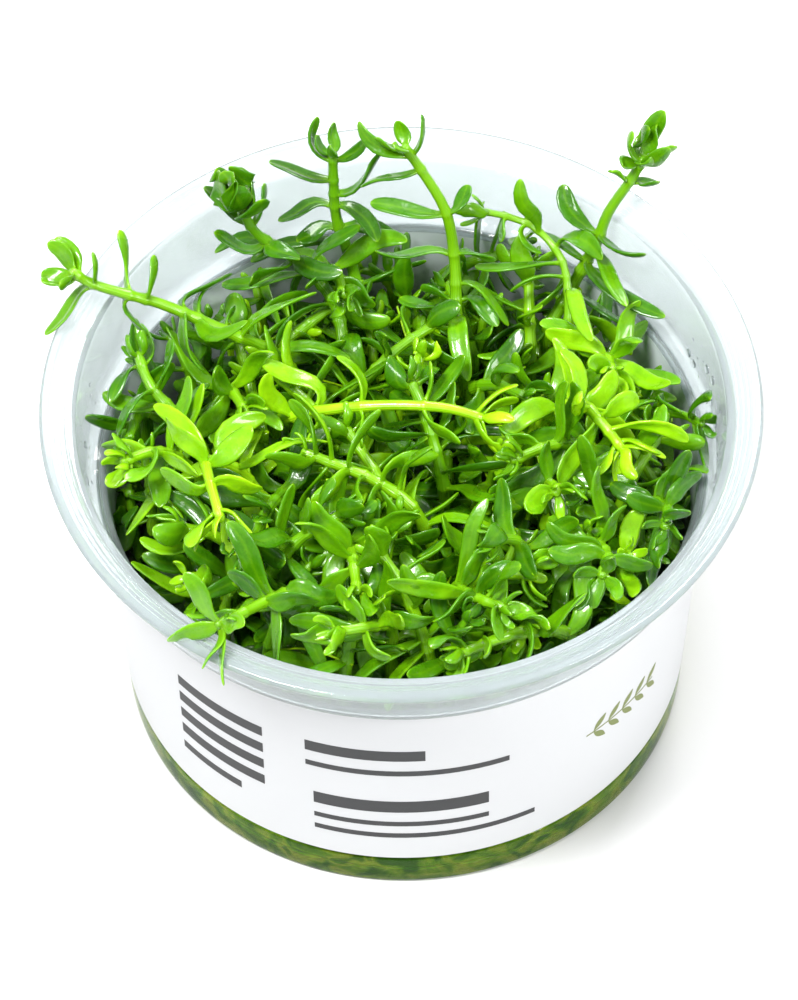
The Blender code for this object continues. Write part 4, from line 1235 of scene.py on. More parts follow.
def foliage_tree():
    """Geometry Nodes that sweep leaf blades and round stems along the rails."""
    tree = bpy.data.node_groups.new("foliage", "GeometryNodeTree")
    face = tree.interface
    face.new_socket("Rails", in_out="INPUT", socket_type="NodeSocketGeometry")
    for name, value in (("Blade Points", 12), ("Stem Points", 10)):
        face.new_socket(name, in_out="INPUT", socket_type="NodeSocketInt").default_value = value
    face.new_socket("Channel", in_out="INPUT", socket_type="NodeSocketFloat").default_value = 0.9
    for name in ("Leaf", "Stem"):
        face.new_socket(name, in_out="INPUT", socket_type="NodeSocketMaterial")
    face.new_socket("Foliage", in_out="OUTPUT", socket_type="NodeSocketGeometry")
    t = Tree(tree)
    given = t.add("NodeGroupInput").outputs
    kinds = t.add("GeometryNodeSeparateGeometry", {
        "Geometry": given["Rails"], "Selection": t.math("GREATER_THAN", t.named("blade"), 0.5)})
    parts = []
    for kind, sides, surface in (("Selection", "Blade Points", "Leaf"), ("Inverted", "Stem Points", "Stem")):
        curve = t.add("GeometryNodeMeshToCurve", {"Mesh": kinds.outputs[kind]})
        lines = t.add("GeometryNodeSetCurveNormal", {
            "Curve": curve.outputs[0], "Normal": t.named("up", "FLOAT_VECTOR")}, mode="FREE")
        circle = t.add("GeometryNodeCurvePrimitiveCircle", {"Resolution": given[sides], "Radius": 1.0})
        place = t.add("ShaderNodeSeparateXYZ", {0: t.add("GeometryNodeInputPosition").outputs[0]})
        across = t.add("GeometryNodeStoreNamedAttribute", {
            "Geometry": circle.outputs["Curve"], "Name": "across", "Value": place.outputs["Y"]},
            data_type="FLOAT", domain="POINT")
        profile = across.outputs[0]
        if surface == "Leaf":
            middle = t.math("MULTIPLY", place.outputs["Y"], 3.6)
            dip = t.math("MULTIPLY", t.bell(middle), given["Channel"])
            upper = t.math("GREATER_THAN", place.outputs["X"], 0.0)
            rise = t.math("SUBTRACT", place.outputs["X"], t.math("MULTIPLY", dip, upper))
            high = t.add("GeometryNodeStoreNamedAttribute", {
                "Geometry": profile, "Name": "rise", "Value": rise}, data_type="FLOAT", domain="POINT")
            flat = t.add("GeometryNodeSetPosition", {
                "Geometry": high.outputs[0], "Position": t.vector(0.0, place.outputs["Y"], 0.0)})
            profile = flat.outputs[0]
        swept = t.add("GeometryNodeCurveToMesh", {
            "Curve": lines.outputs[0], "Profile Curve": profile, "Scale": t.named("reach"),
            "Fill Caps": True}).outputs[0]
        if surface == "Leaf":
            edge = t.math("MULTIPLY", t.named("across"), t.named("across"))
            margin = t.math("MULTIPLY", t.math("MULTIPLY", edge, t.named("fold")), t.named("reach"))
            lift = t.math("ADD", t.math("MULTIPLY", t.named("rise"), t.named("thick")), margin)
            shift = t.add("ShaderNodeVectorMath", {0: t.named("up", "FLOAT_VECTOR")}, operation="SCALE")
            t.tree.links.new(lift, shift.inputs["Scale"])
            swept = t.add("GeometryNodeSetPosition", {
                "Geometry": swept, "Offset": shift.outputs[0]}).outputs[0]
        smooth = t.add("GeometryNodeSetShadeSmooth", {"Geometry": swept})
        real = t.add("GeometryNodeRealizeInstances", {"Geometry": smooth.outputs[0]})
        parts.append(t.add("GeometryNodeSetMaterial", {
            "Geometry": real.outputs[0], "Material": given[surface]}).outputs[0])
    joined = t.add("GeometryNodeJoinGeometry")
    for part in parts:
        tree.links.new(part, joined.inputs[0])
    t.add("NodeGroupOutput", {"Foliage": joined.outputs[0]})
    return tree


def fix_inputs(modifier, values):
    """Sets a Geometry Nodes modifier's inputs by their sockets' identifiers."""
    for item in modifier.node_group.interface.items_tree:
        if item.item_type == "SOCKET" and item.in_out == "INPUT" and item.name in values:
            modifier[item.identifier] = values[item.name]


def plain_mesh(holder, name):
    """The evaluated object as one plain mesh in an object of its own; the holder goes."""
    graph = bpy.context.evaluated_depsgraph_get()
    mesh = bpy.data.meshes.new_from_object(holder.evaluated_get(graph), preserve_all_data_layers=True,
                                           depsgraph=graph)
    source = holder.data
    bpy.data.objects.remove(holder)
    bpy.data.meshes.remove(source)
    mesh.name = name
    made = bpy.data.objects.new(name, mesh)
    bpy.context.scene.collection.objects.link(made)
    return made


def swept_foliage(name, rails, channel, blade=12, stem=10):
    """An object with the leaves and stems of the rails, their sections with so many points."""
    mesh = rails.mesh(name + "_rails")
    for surface in ("wet_leaf", "wet_stem"):
        mesh.materials.append(bpy.data.materials[surface])
    holder = bpy.data.objects.new(name + "_rails", mesh)
    bpy.context.scene.collection.objects.link(holder)
    modifier = holder.modifiers.new("foliage", "NODES")
    modifier.node_group = bpy.data.node_groups.get("foliage") or foliage_tree()
    fix_inputs(modifier, {"Channel": channel, "Blade Points": blade, "Stem Points": stem,
                          "Leaf": bpy.data.materials["wet_leaf"], "Stem": bpy.data.materials["wet_stem"]})
    return plain_mesh(holder, name)


def mesh_object(name, points, faces, surface, sharp=60.0):
    """A smooth-shaded object from points in millimetres."""
    mesh = bpy.data.meshes.new(name)
    mesh.from_pydata([tuple(float(c) * MM for c in point) for point in points], [], faces)
    mesh.materials.append(surface)
    mesh.shade_smooth()
    mesh.set_sharp_from_angle(angle=math.radians(sharp))
    made = bpy.data.objects.new(name, mesh)
    bpy.context.scene.collection.objects.link(made)
    return made


def rounded(profile, radius, steps=4):
    """A profile whose corners are eased, each by at most a third of its shorter side."""
    p = [np.array(point, float) for point in profile]
    out = [p[0]]
    for before, corner, after in zip(p, p[1:], p[2:]):
        back, ahead = before - corner, after - corner
        reach = min(radius, np.linalg.norm(back) / 3, np.linalg.norm(ahead) / 3)
        start = corner + back / np.linalg.norm(back) * reach
        end = corner + ahead / np.linalg.norm(ahead) * reach
        for step in range(steps + 1):
            t = step / steps
            out.append((1 - t) ** 2 * start + 2 * t * (1 - t) * corner + t ** 2 * end)
    out.append(p[-1])
    return [tuple(point) for point in out]


def rim_top(lines):
    """The rim's upper face from its outer lip in to the mouth, with fine moulded rings."""
    top = []
    for radius in np.linspace(RIM_RADIUS - 1.6, MOUTH_RADIUS + 1.3, 3 * lines):
        ridge = 0.05 * math.cos(2 * math.pi * radius / 0.72)
        top.append((radius, flange_top(radius) + ridge - 0.12))
    return top


def tub_profile(rings):
    """The tub's whole wall, from the middle of its underside round to the middle of its floor."""
    outer = [
        (30.0, 0.25), (BAND_RADIUS - 3.2, 0.25), (BAND_RADIUS - 2.6, 0.0),
        (BAND_RADIUS - 0.8, 0.0), (BAND_RADIUS - 0.15, 0.5), (BAND_RADIUS, BASE_CORNER),
        (BAND_RADIUS + 0.1, BAND_TOP - 0.3), (body_radius(BAND_TOP), BAND_TOP),
        (body_radius(BODY_TOP), BODY_TOP), (COLLAR_FOOT_RADIUS + WALL, COLLAR_FOOT_HEIGHT - 0.5),
        (MOUTH_RADIUS + WALL + 0.2, MOUTH_HEIGHT - LIP_THICKNESS),
        (RIM_RADIUS - 0.2, TUB_HEIGHT - LIP_THICKNESS), (RIM_RADIUS, TUB_HEIGHT - 0.5),
        (RIM_RADIUS - 0.4, TUB_HEIGHT), (RIM_RADIUS - 1.3, TUB_HEIGHT - 0.05),
    ]
    wall = inner_wall()
    low = float(np.interp(LABEL_BOTTOM - 0.2, [wall[1][1], wall[2][1]], [wall[1][0], wall[2][0]]))
    wall.insert(2, (low, LABEL_BOTTOM - 0.2))
    inner = [(MOUTH_RADIUS + 0.9, MOUTH_HEIGHT + 0.32)] + wall[::-1]
    return rounded(outer, 0.8) + rim_top(rings) + rounded(inner, 0.9)


def on_label(across, z, lift):
    """A point on the label's outer side: across millimetres to the right of the front."""
    radius = body_radius(z) + GAP + LABEL_THICKNESS
    angle = across / radius - 0.5 * math.pi
    return ((radius + lift) * math.cos(angle), (radius + lift) * math.sin(angle), z)


def ink_strip(pairs):
    """Closed thin print between pairs of label places, which follow the label's curve."""
    points, faces = [], []
    for low, high in pairs:
        points += [on_label(*low, 0.004), on_label(*high, 0.004), on_label(*high, 0.03),
                   on_label(*low, 0.03)]
    for row in range(len(pairs) - 1):
        a = 4 * row
        faces += [(a + 3, a + 7, a + 6, a + 2), (a, a + 1, a + 5, a + 4), (a, a + 4, a + 7, a + 3),
                  (a + 1, a + 2, a + 6, a + 5)]
    last = 4 * (len(pairs) - 1)
    faces += [(0, 3, 2, 1), (last, last + 1, last + 2, last + 3)]
    return points, faces


def joined_shells(shells):
    """Several shells as one list of points and faces."""
    points, faces = [], []
    for more, sides in shells:
        first = len(points)
        points += more
        faces += [tuple(first + i for i in side) for side in sides]
    return points, faces


def printed_bar(left, bottom, width, height):
    """A plain bar on the label."""
    steps = max(2, int(width / 1.4))
    return ink_strip([((left + width * i / steps, bottom), (left + width * i / steps, bottom + height))
                      for i in range(steps + 1)])


def printed_leaf(x, z, angle, length, width):
    """A plain pointed oval on the label."""
    pairs = []
    for i in range(9):
        t = i / 8
        half = 0.5 * width * math.sin(math.pi * min(max(t, 0.03), 0.97)) ** 0.8
        cx, cz = x + length * t * math.cos(angle), z + length * t * math.sin(angle)
        dx, dz = -math.sin(angle) * half, math.cos(angle) * half
        pairs.append(((cx - dx, cz - dz), (cx + dx, cz + dz)))
    return ink_strip(pairs)


def label_shell(count):
    """The paper band, open at its seam, with many short sides."""
    reach = GAP + LABEL_THICKNESS
    corners = [
        (body_radius(LABEL_BOTTOM) + GAP, LABEL_BOTTOM), (body_radius(LABEL_BOTTOM) + reach, LABEL_BOTTOM),
        (body_radius(LABEL_TOP) + reach, LABEL_TOP), (body_radius(LABEL_TOP) + GAP, LABEL_TOP),
    ]
    turn = 2 * math.pi * round(LABEL_SEAM * FACETS / (2 * math.pi)) / FACETS
    sweep = 2 * math.pi - 0.01
    points, faces = [], [(0, 1, 2, 3)]
    for i in range(count + 1):
        angle = turn + sweep * i / count
        points += [(r * math.cos(angle), r * math.sin(angle), z) for r, z in corners]
    for i in range(count):
        low = 4 * i
        for k in range(4):
            m = (k + 1) % 4
            faces.append((low + k, low + 4 + k, low + 4 + m, low + m))
    end = 4 * count
    faces.append((end + 3, end + 2, end + 1, end))
    return points, faces


def drops_tree():
    """Geometry Nodes that scatter flattened drops over a wall."""
    tree = bpy.data.node_groups.new("drops", "GeometryNodeTree")
    face = tree.interface
    face.new_socket("Wall", in_out="INPUT", socket_type="NodeSocketGeometry")
    for name, value in (("Spacing", 0.0016), ("Smallest", 0.0002), ("Largest", 0.0006)):
        face.new_socket(name, in_out="INPUT", socket_type="NodeSocketFloat").default_value = value
    face.new_socket("Seed", in_out="INPUT", socket_type="NodeSocketInt").default_value = 3
    face.new_socket("Water", in_out="INPUT", socket_type="NodeSocketMaterial")
    face.new_socket("Drops", in_out="OUTPUT", socket_type="NodeSocketGeometry")
    t = Tree(tree)
    given = t.add("NodeGroupInput").outputs
    places = t.add("GeometryNodeDistributePointsOnFaces", {
        "Mesh": given["Wall"], "Distance Min": given["Spacing"], "Density Max": 900000.0,
        "Seed": given["Seed"]}, distribute_method="POISSON")
    ball = t.add("GeometryNodeMeshIcoSphere", {"Radius": 1.0, "Subdivisions": 3})
    spread = t.add("FunctionNodeRandomValue", {"Seed": given["Seed"]}, data_type="FLOAT")
    skew = t.math("POWER", spread.outputs[1], 3.0)
    size = t.math("ADD", given["Smallest"], t.math("MULTIPLY", skew, t.math(
        "SUBTRACT", given["Largest"], given["Smallest"])))
    flat = t.vector(size, size, t.math("MULTIPLY", size, 0.55))
    dots = t.add("GeometryNodeInstanceOnPoints", {
        "Points": places.outputs["Points"], "Instance": ball.outputs["Mesh"],
        "Rotation": places.outputs["Rotation"], "Scale": flat})
    real = t.add("GeometryNodeRealizeInstances", {"Geometry": dots.outputs[0]})
    smooth = t.add("GeometryNodeSetShadeSmooth", {"Geometry": real.outputs[0]})
    wet = t.add("GeometryNodeSetMaterial", {"Geometry": smooth.outputs[0], "Material": given["Water"]})
    t.add("NodeGroupOutput", {"Drops": wet.outputs[0]})
    return tree


def surface(name):
    """A new Principled material and its tree helper."""
    made = bpy.data.materials.new(name)
    made.use_nodes = True
    return made, Tree(made.node_tree)


def blended(t, share, first, second):
    """The colour output of a Mix node."""
    node = t.add("ShaderNodeMix", data_type="RGBA")
    for number, value in ((0, share), (6, first), (7, second)):
        t.fill(node.inputs[number], (*value, 1.0) if isinstance(value, (tuple, Color)) else value)
    return node.outputs[2]


def ramp(t, share, stops):
    """The colour output of a Color Ramp with its stops."""
    node = t.add("ShaderNodeValToRGB", {"Fac": share})
    marks = node.color_ramp.elements
    while len(marks) < len(stops):
        marks.new(0.5)
    for mark, (place, color) in zip(marks, stops):
        mark.position = place
        mark.color = (*color, 1.0)
    return node.outputs[0]


def leaf_material(plant):
    """Wet leaf: dark to yellow-green by how old it is and by painted shade of depth, a pale midrib, pale
    foot and tip, and a glossy film.
    """
    made, t = surface("wet_leaf")
    spine = t.carried("spine")
    cloud = t.noise(260.0, 3.0)
    age_and_shade = t.math("ADD", t.carried("tint"), t.math("MULTIPLY", t.math("SUBTRACT", cloud, 0.5), 0.5))
    age_and_shade = t.math("ADD", age_and_shade, t.math("MULTIPLY", t.math("SUBTRACT", t.carried("patch"), 0.5), 0.12))
    color = ramp(t, age_and_shade, [(0.0, plant.dark_green), (0.3, plant.deep_green), (0.6, plant.leaf_green),
                          (0.85, plant.light_green), (1.0, plant.yellow_green)])
    rib = t.bell(t.math("MULTIPLY", t.carried("across"), 7.0))
    color = blended(t, t.math("MULTIPLY", rib, 0.16), color, plant.light_green)
    foot = t.math("EXPONENT", t.math("MULTIPLY", spine, -9.0))
    color = blended(t, t.math("MULTIPLY", foot, 0.55), color, plant.light_green)
    tip = t.math("POWER", spine, 14.0)
    color = blended(t, t.math("MULTIPLY", tip, 0.3), color, plant.yellow_green)
    height = t.math("ADD", t.noise(480.0, 2.0), t.math("MULTIPLY", t.noise(2600.0, 2.0), 0.18))
    t.shade(Base_Color=color, Normal=t.bump(height, 0.35, 0.0005),
            Roughness=t.math("ADD", 0.2, t.math("MULTIPLY", cloud, 0.16)),
            Specular_IOR_Level=0.3, Coat_Weight=0.7, Coat_Roughness=0.05, Coat_IOR=1.36,
            Subsurface_Weight=0.3, Subsurface_Radius=(0.9, 1.2, 0.1), Subsurface_Scale=0.001)
    return made


def stem_material(plant):
    """Wet stem: light green with fine ribs along it."""
    made, t = surface("wet_stem")
    cloud = t.noise(180.0, 3.0)
    age_and_shade = t.math("ADD", t.math("MULTIPLY", t.carried("tint"), 0.9), t.math("MULTIPLY", cloud, 0.4))
    color = ramp(t, age_and_shade, [(0.0, plant.deep_green), (0.45, plant.leaf_green), (0.9, plant.light_green),
                          (1.0, plant.yellow_green)])
    ribs = t.math("SINE", t.math("MULTIPLY", t.carried("across"), 19.0))
    color = blended(t, t.math("MULTIPLY", t.math("ADD", ribs, 1.0), 0.12), color, plant.leaf_green)
    t.shade(Base_Color=color, Normal=t.bump(ribs, 0.3, 0.0001),
            Roughness=t.math("ADD", 0.22, t.math("MULTIPLY", cloud, 0.15)),
            Coat_Weight=0.5, Coat_Roughness=0.08, Coat_IOR=1.33,
            Subsurface_Weight=0.3, Subsurface_Radius=(0.8, 1.2, 0.2), Subsurface_Scale=0.001)
    return made


def painted_shade_material():
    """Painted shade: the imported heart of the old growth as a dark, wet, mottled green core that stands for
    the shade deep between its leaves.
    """
    made, t = surface("packed_growth")
    cloud = t.noise(320.0, 4.0)
    color = ramp(t, cloud, [(0.3, (0.004, 0.012, 0.001)), (0.55, (0.015, 0.06, 0.003)),
                            (0.75, (0.05, 0.12, 0.01))])
    t.shade(Base_Color=color, Normal=t.bump(cloud, 0.8, 0.002), Roughness=0.45)
    return made


def tub_material(name, tub, clearness, roughness, painted_view=(), ior=1.45, specular=0.3):
    """Moulded plastic, as clear as asked: milky rim, white behind paper, and on the foot a painted view of
    the shaded growth behind it.
    """
    made, t = surface(name)
    waver = t.noise(60.0, 2.0)
    color = ramp(t, t.noise(210.0, 2.0, 1.4), painted_view) if painted_view else (*tub.plastic, 1.0)
    t.shade(Base_Color=color, Normal=t.bump(waver, 0.12, 0.001),
            Roughness=t.math("ADD", roughness, t.math("MULTIPLY", waver, 0.04)),
            Transmission_Weight=clearness, IOR=ior, Specular_IOR_Level=specular)
    return made


def jelly_material():
    """Clear wet nutrient jelly, green from the growth in it."""
    made, t = surface("nutrient_jelly")
    color = ramp(t, t.noise(150.0, 2.0), [(0.3, (0.56, 0.74, 0.3)), (0.7, (0.72, 0.86, 0.46))])
    t.shade(Base_Color=color, Roughness=0.0, Transmission_Weight=1.0, IOR=1.2)
    return made


def paper_material(label):
    """Satin white label paper with a faint fibre and a soft wave."""
    made, t = surface("label_paper")
    fibre = t.noise(2200.0, 4.0)
    color = blended(t, t.math("MULTIPLY", fibre, 0.12), label.paper, (0.58, 0.6, 0.62))
    height = t.math("ADD", t.math("MULTIPLY", fibre, 0.02), t.noise(45.0, 1.0))
    t.shade(Base_Color=color, Normal=t.bump(height, 0.12, 0.0008), Roughness=0.42, Specular_IOR_Level=0.4)
    return made


def ink_material(name, ink):
    """Printed ink, a little uneven."""
    made, t = surface(name)
    lighter = tuple(1.5 * c + 0.01 for c in ink)
    color = blended(t, t.math("MULTIPLY", t.noise(1800.0, 3.0), 0.3), ink, lighter)
    t.shade(Base_Color=color, Roughness=0.5)
    return made


def water_material():
    """Clear water drops."""
    made, t = surface("clear_water")
    t.shade(Base_Color=(1.0, 1.0, 1.0, 1.0), Roughness=t.math("MULTIPLY", t.noise(900.0, 1.0), 0.04),
            Transmission_Weight=1.0, IOR=1.333)
    return made


def floor_material(stage):
    """Plain pale floor with the faintest grain."""
    made, t = surface("pale_floor")
    paler = tuple(min(1.0, c * 1.02) for c in stage.floor)
    color = blended(t, t.noise(30.0, 2.0), stage.floor, paler)
    t.shade(Base_Color=color, Roughness=0.9, Specular_IOR_Level=0.1)
    return made


def color_input(name, description, default):
    """A colour that a user may change."""
    return FloatVectorProperty(name=name, description=description, default=default, size=3,
                               subtype="COLOR", min=0.0, max=1.0)


class RotalaPlant(bpy.types.PropertyGroup):
    """Colours and sizes of the leaves and stems."""

    # The darker greens serve old leaves and the painted shade of deep ones alike
    dark_green: color_input("Dark Green", "Oldest leaves", (0.014, 0.075, 0.0006))
    deep_green: color_input("Deep Green", "Older leaves", (0.042, 0.18, 0.001))
    leaf_green: color_input("Leaf Green", "Grown leaves", (0.125, 0.36, 0.0015))
    light_green: color_input("Light Green", "Young leaves and stems", (0.27, 0.58, 0.003))
    yellow_green: color_input("Yellow Green", "Youngest growth", (0.4, 0.76, 0.005))
    channel: FloatProperty(name="Midrib Channel", description="Depth of the groove along a leaf",
                           default=0.8, min=0.0, max=2.0, subtype="FACTOR")
    seed: IntProperty(name="Seed", description="Chooses the small growth and the shades", default=8, min=0)


class RotalaTub(bpy.types.PropertyGroup):
    """The tub's moulding, its plastic and the drops on its wall."""

    segments: IntProperty(name="Segments", description="Sides of the turned wall", default=192, min=24)
    rings: IntProperty(name="Rim Rings", description="Fine rings moulded in the rim", default=18, min=4)
    plastic: color_input("Plastic", "Colour of the plastic", (0.72, 0.79, 0.81))
    clearness: FloatProperty(name="Clearness", description="Share of light that the plastic lets through",
                             default=0.74, min=0.0, max=1.0, subtype="FACTOR")
    roughness: FloatProperty(name="Roughness", description="Haze of the plastic", default=0.08, min=0.0,
                             max=1.0, subtype="FACTOR")
    smallest_drop: FloatProperty(name="Smallest Drop", description="Radius of the smallest drop",
                                 default=0.15 * MM, min=0.0, **UNITS)
    largest_drop: FloatProperty(name="Largest Drop", description="Radius of the largest drop",
                                default=0.75 * MM, min=0.0, **UNITS)


class RotalaLabel(bpy.types.PropertyGroup):
    """The label's paper and its plain print."""

    paper: color_input("Paper", "Colour of the paper", (0.66, 0.672, 0.685))
    ink: color_input("Ink", "Colour of the bars", (0.012, 0.013, 0.015))
    sprig: color_input("Sprig", "Colour of the leaf pattern", (0.16, 0.2, 0.04))


class RotalaStage(bpy.types.PropertyGroup):
    """Floor, lights and camera."""

    floor: color_input("Floor", "Colour of the floor", (0.73, 0.73, 0.73))
    sky: FloatProperty(name="Sky", description="Strength of the light from all round", default=0.5, min=0.0)
    key: FloatProperty(name="Key Light", description="Power of the main light above", default=9.0,
                       min=0.0, subtype="POWER", unit="POWER")
    distance: FloatProperty(name="Camera Distance", description="From the camera to its aim",
                            default=0.9, min=0.1, **UNITS)
    elevation: FloatProperty(name="Camera Elevation", description="Angle above the horizon",
                             default=math.radians(53.44), subtype="ANGLE", unit="ROTATION")


def shown(scene_object, body="root", slot=None, stands_for=()):
    """Lets a finished piece ride on the body and stand for its CAD nodes."""
    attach(scene_object, body)
    if stands_for:
        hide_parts(*stands_for)


def slot_of(node):
    """The record's material slot of a CAD node."""
    for part in frame["record"]["subparts"]:
        if part["node"] == node:
            return part["material_slot"]
    raise RuntimeError(f"the record has no sub-part {node}")


def on_wet_side(angle):
    """True where the tub's inner wall has drops, by the angle in degrees."""
    return any(low < angle < high for low, high in WET_SIDES)


class ROTALA_OT_foliage(bpy.types.Operator):
    """Grow every stem with its leaves, and the older growth that they stand on"""

    bl_idname = "rotala.foliage"
    bl_label = "Stems and Leaves"

    def execute(self, context):
        plant = context.scene.rotala_plant
        leaf_material(plant)
        stem_material(plant)
        mound, raised, grown = grow()
        mound = (mound[0], split(mound[1]))
        crowd = Crowd()
        for shell in [mound] + [design[2] for design in grown.values()]:
            crowd.add(shell)
        for leaf in raised.values():
            crowd.add(leaf.probe(FILL_CUTS, 0.0))
        rng = random.Random(plant.seed)
        for name, design in grown.items():
            solid = np.array(design[2][0]) * MM
            off = np.abs(np.array(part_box(name)) - (solid.min(axis=0), solid.max(axis=0)))
            if off.max() > SAME_PLACE:
                raise RuntimeError(f"{name} isn't where its solid is")
            tint = SHADES.get(name, rng.uniform(0.25, 0.7))
            rails = fine_plant(name, design, crowd, rng, tint)
            made = swept_foliage(name + "_leafy", rails, plant.channel)
            shown(made, slot=slot_of(name), stands_for=(name,))
        made = swept_foliage("small_shoots", small_shoots(mound, crowd, rng), plant.channel, 8, 8)
        shown(made, slot="leaf_mid")
        rails = old_growth(mound, raised, rng)
        made = swept_foliage("old_growth_leafy", rails, plant.channel, 8, 6)
        shown(made, slot="old_growth", stands_for=("tangle",))
        rails = Rails()
        wall_leaves(rails, rng)
        floor_leaves(rails, rng)
        made = swept_foliage("leaves_at_wall", rails, plant.channel)
        shown(made, slot="old_growth")
        made = swept_foliage("rootlets", rootlet_rails(rng), plant.channel)
        shown(made, slot="old_growth")
        # A dark core, the mound shrunk and dropped: painted shade for the depths of the old growth
        points, faces = mound
        inner = [(CORE_SHARE * x, CORE_SHARE * y, z - CORE_DROP if z > CORE_DROP else CORE_BOTTOM)
                 for x, y, z in points]
        made = mesh_object("packed_growth", inner, faces, painted_shade_material())
        shown(made, slot="old_growth")
        return {"FINISHED"}


class ROTALA_OT_tub(bpy.types.Operator):
    """Mould the clear tub and scatter the drops on its inner wall"""

    bl_idname = "rotala.tub"
    bl_label = "Tub and Drops"

    def execute(self, context):
        tub = context.scene.rotala_tub
        points, faces = lathe(tub_profile(tub.rings), tub.segments)
        wall = tub_material("milky_plastic", tub, tub.clearness, tub.roughness)
        made = mesh_object("clear_tub", points, faces, wall, 40.0)
        # The clear foot carries a painted view of the shaded leaves behind it, dark and light green
        made.data.materials.append(tub_material("clear_plastic", tub, 0.72, 0.0, PAINTED_FOOT_VIEW, 1.22, 0.15))
        made.data.materials.append(tub_material("backed_plastic", tub, 0.08, tub.roughness))
        for side in made.data.polygons:
            height = side.center.z / MM
            side.material_index = 1 if height < FOOT_TOP else 2 if height < LABEL_TOP else 0
        shown(made, slot="clear_plastic", stands_for=("tub",))
        rows = [(inner_radius(z) + 0.12, z) for z in np.linspace(DROPS_FROM, DROPS_TO, 5)]
        points = [p for radius, z in rows for p in ring(radius, z, tub.segments)]
        faces = [tuple(reversed(face)) for face in bands(len(rows), tub.segments)
                 if on_wet_side(360 * (face[0] % tub.segments) / tub.segments)]
        holder = mesh_object("wall_drops_seat", points, faces, water_material())
        modifier = holder.modifiers.new("drops", "NODES")
        modifier.node_group = drops_tree()
        fix_inputs(modifier, {"Smallest": tub.smallest_drop, "Largest": tub.largest_drop,
                              "Water": bpy.data.materials["clear_water"]})
        shown(plain_mesh(holder, "wall_drops"), slot="jelly")
        return {"FINISHED"}


class ROTALA_OT_jelly(bpy.types.Operator):
    """Set the nutrient jelly on the tub's floor"""

    bl_idname = "rotala.jelly"
    bl_label = "Nutrient Jelly"

    def execute(self, context):
        floor = WALL + 0.1 + GAP
        profile = rounded([(20.0, floor), (inner_radius(floor) - GAP - 0.2, floor),
                           (inner_radius(2.8) - GAP, 2.8), (inner_radius(JELLY_TOP) - GAP, JELLY_TOP),
                           (30.0, JELLY_TOP - 0.4)], 0.8)
        points, faces = lathe(profile, 120)
        made = mesh_object("nutrient_jelly", points, faces, jelly_material(), 50.0)
        shown(made, slot="jelly", stands_for=("jelly",))
        return {"FINISHED"}


class ROTALA_OT_label(bpy.types.Operator):
    """Wrap the paper label round the tub and print its plain bars and sprig"""

    bl_idname = "rotala.label"
    bl_label = "Label and Print"

    def execute(self, context):
        label = context.scene.rotala_label
        points, faces = label_shell(234)
        made = mesh_object("paper_label", points, faces, paper_material(label), 40.0)
        shown(made, slot="label_paper", stands_for=("label",))
        bars = joined_shells([printed_bar(*bar) for bar in BARS])
        made = mesh_object("printed_bars", *bars, ink_material("bar_ink", label.ink), 30.0)
        shown(made, slot="label_paper")
        leaves = [printed_bar(SPRIG_LEFT, SPRIG_HEIGHT - 0.15, SPRIG_LENGTH, 0.3)]
        for i in range(SPRIG_PAIRS):
            x = SPRIG_LEFT + SPRIG_LENGTH * (i + 0.5) / SPRIG_PAIRS
            leaves += [printed_leaf(x, SPRIG_HEIGHT + 0.25, 0.9, 3.4, 1.2),
                       printed_leaf(x, SPRIG_HEIGHT - 0.25, -0.9, 3.4, 1.2)]
        made = mesh_object("printed_sprig", *joined_shells(leaves), ink_material("sprig_ink", label.sprig),
                           30.0)
        shown(made, slot="label_paper")
        return {"FINISHED"}


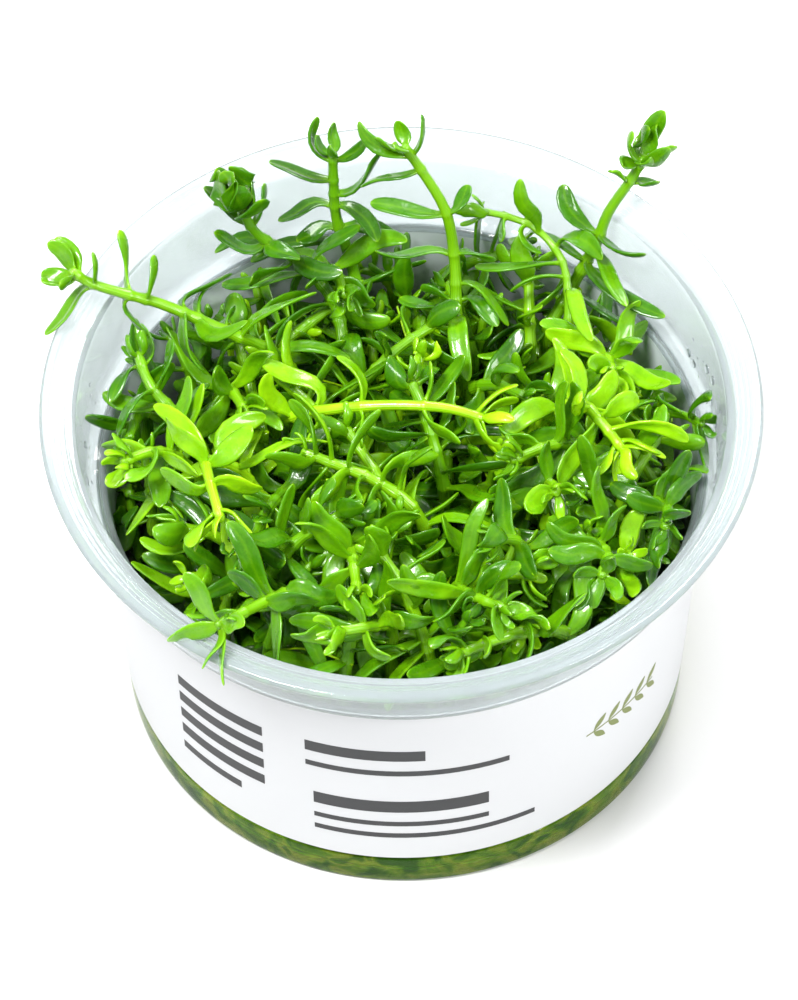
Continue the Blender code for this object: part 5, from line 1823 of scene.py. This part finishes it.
class ROTALA_OT_stage(bpy.types.Operator):
    """Lay the pale floor, hang the soft lights and aim the camera"""

    bl_idname = "rotala.stage"
    bl_label = "Floor, Lights and Camera"

    def execute(self, context):
        stage = context.scene.rotala_stage
        corners = [(x * FLOOR_HALF, y * FLOOR_HALF, 0.0) for x, y in ((-1, -1), (1, -1), (1, 1), (-1, 1))]
        floor = mesh_object("floor", corners, [(0, 1, 2, 3)], floor_material(stage))
        world = bpy.data.worlds.new("studio")
        world.use_nodes = True
        Tree(world.node_tree).shade("Background", Color=(1.0, 1.0, 1.0, 1.0), Strength=stage.sky)
        context.scene.world = world
        for name, place, size, share in LAMPS:
            light = bpy.data.lights.new(name, "AREA")
            light.energy = stage.key * share
            light.size = size
            lamp = bpy.data.objects.new(name, light)
            lamp.location = place
            way = Vector(LAMP_AIM) - lamp.location
            lamp.rotation_euler = way.to_track_quat("-Z", "Y").to_euler()
            context.scene.collection.objects.link(lamp)
        camera = bpy.data.cameras.new("camera")
        camera.sensor_width = 36.0
        camera.lens = CAMERA_LENS
        camera.clip_end = 20.0
        back = Vector((0.0, -math.cos(stage.elevation), math.sin(stage.elevation)))
        right = Vector((1.0, 0.0, 0.0))
        up = back.cross(right)
        side = right * math.cos(CAMERA_ROLL) + up * math.sin(CAMERA_ROLL)
        top = up * math.cos(CAMERA_ROLL) - right * math.sin(CAMERA_ROLL)
        eye = bpy.data.objects.new("camera", camera)
        turn = Matrix((side, top, back)).transposed().to_4x4()
        eye.matrix_world = Matrix.Translation(Vector(CAMERA_AIM) * MM + back * stage.distance) @ turn
        context.scene.collection.objects.link(eye)
        context.scene.camera = eye
        context.scene.view_settings.view_transform = "Standard"
        return {"FINISHED"}


class ROTALA_PT_panel(bpy.types.Panel):
    """Lists the plant's, the tub's and the stage's steps and settings"""

    bl_idname = "ROTALA_PT_panel"
    bl_label = "Rotala"
    bl_space_type = "VIEW_3D"
    bl_region_type = "UI"
    bl_category = "Rotala"

    def draw(self, context):
        for title, group, steps in PANEL_ROWS:
            box = self.layout.box()
            box.label(text=title)
            settings = getattr(context.scene, group)
            for name in type(settings).__annotations__:
                box.prop(settings, name)
            for step in steps:
                box.operator(step)


GROUPS = {"rotala_plant": RotalaPlant, "rotala_tub": RotalaTub, "rotala_label": RotalaLabel,
          "rotala_stage": RotalaStage}
OPERATORS = (ROTALA_OT_foliage, ROTALA_OT_tub, ROTALA_OT_jelly, ROTALA_OT_label, ROTALA_OT_stage)
PANEL_ROWS = (
    ("Plant", "rotala_plant", ("rotala.foliage",)),
    ("Tub", "rotala_tub", ("rotala.tub", "rotala.jelly")),
    ("Label", "rotala_label", ("rotala.label",)),
    ("Stage", "rotala_stage", ("rotala.stage",)),
)


def register():
    """Registers the settings, the steps and the panel."""
    for name, group in GROUPS.items():
        bpy.utils.register_class(group)
        setattr(bpy.types.Scene, name, PointerProperty(type=group))
    for made in (*OPERATORS, ROTALA_PT_panel):
        bpy.utils.register_class(made)


def unregister():
    """Takes them out again."""
    for made in (ROTALA_PT_panel, *reversed(OPERATORS)):
        bpy.utils.unregister_class(made)
    for name, group in GROUPS.items():
        delattr(bpy.types.Scene, name)
        bpy.utils.unregister_class(group)


def main():
    """Builds everything in order."""
    register()
    bpy.ops.rotala.foliage()
    bpy.ops.rotala.tub()
    bpy.ops.rotala.jelly()
    bpy.ops.rotala.label()
    bpy.ops.rotala.stage()
    bpy.context.view_layer.update()


if __name__ == "__main__":
    main()
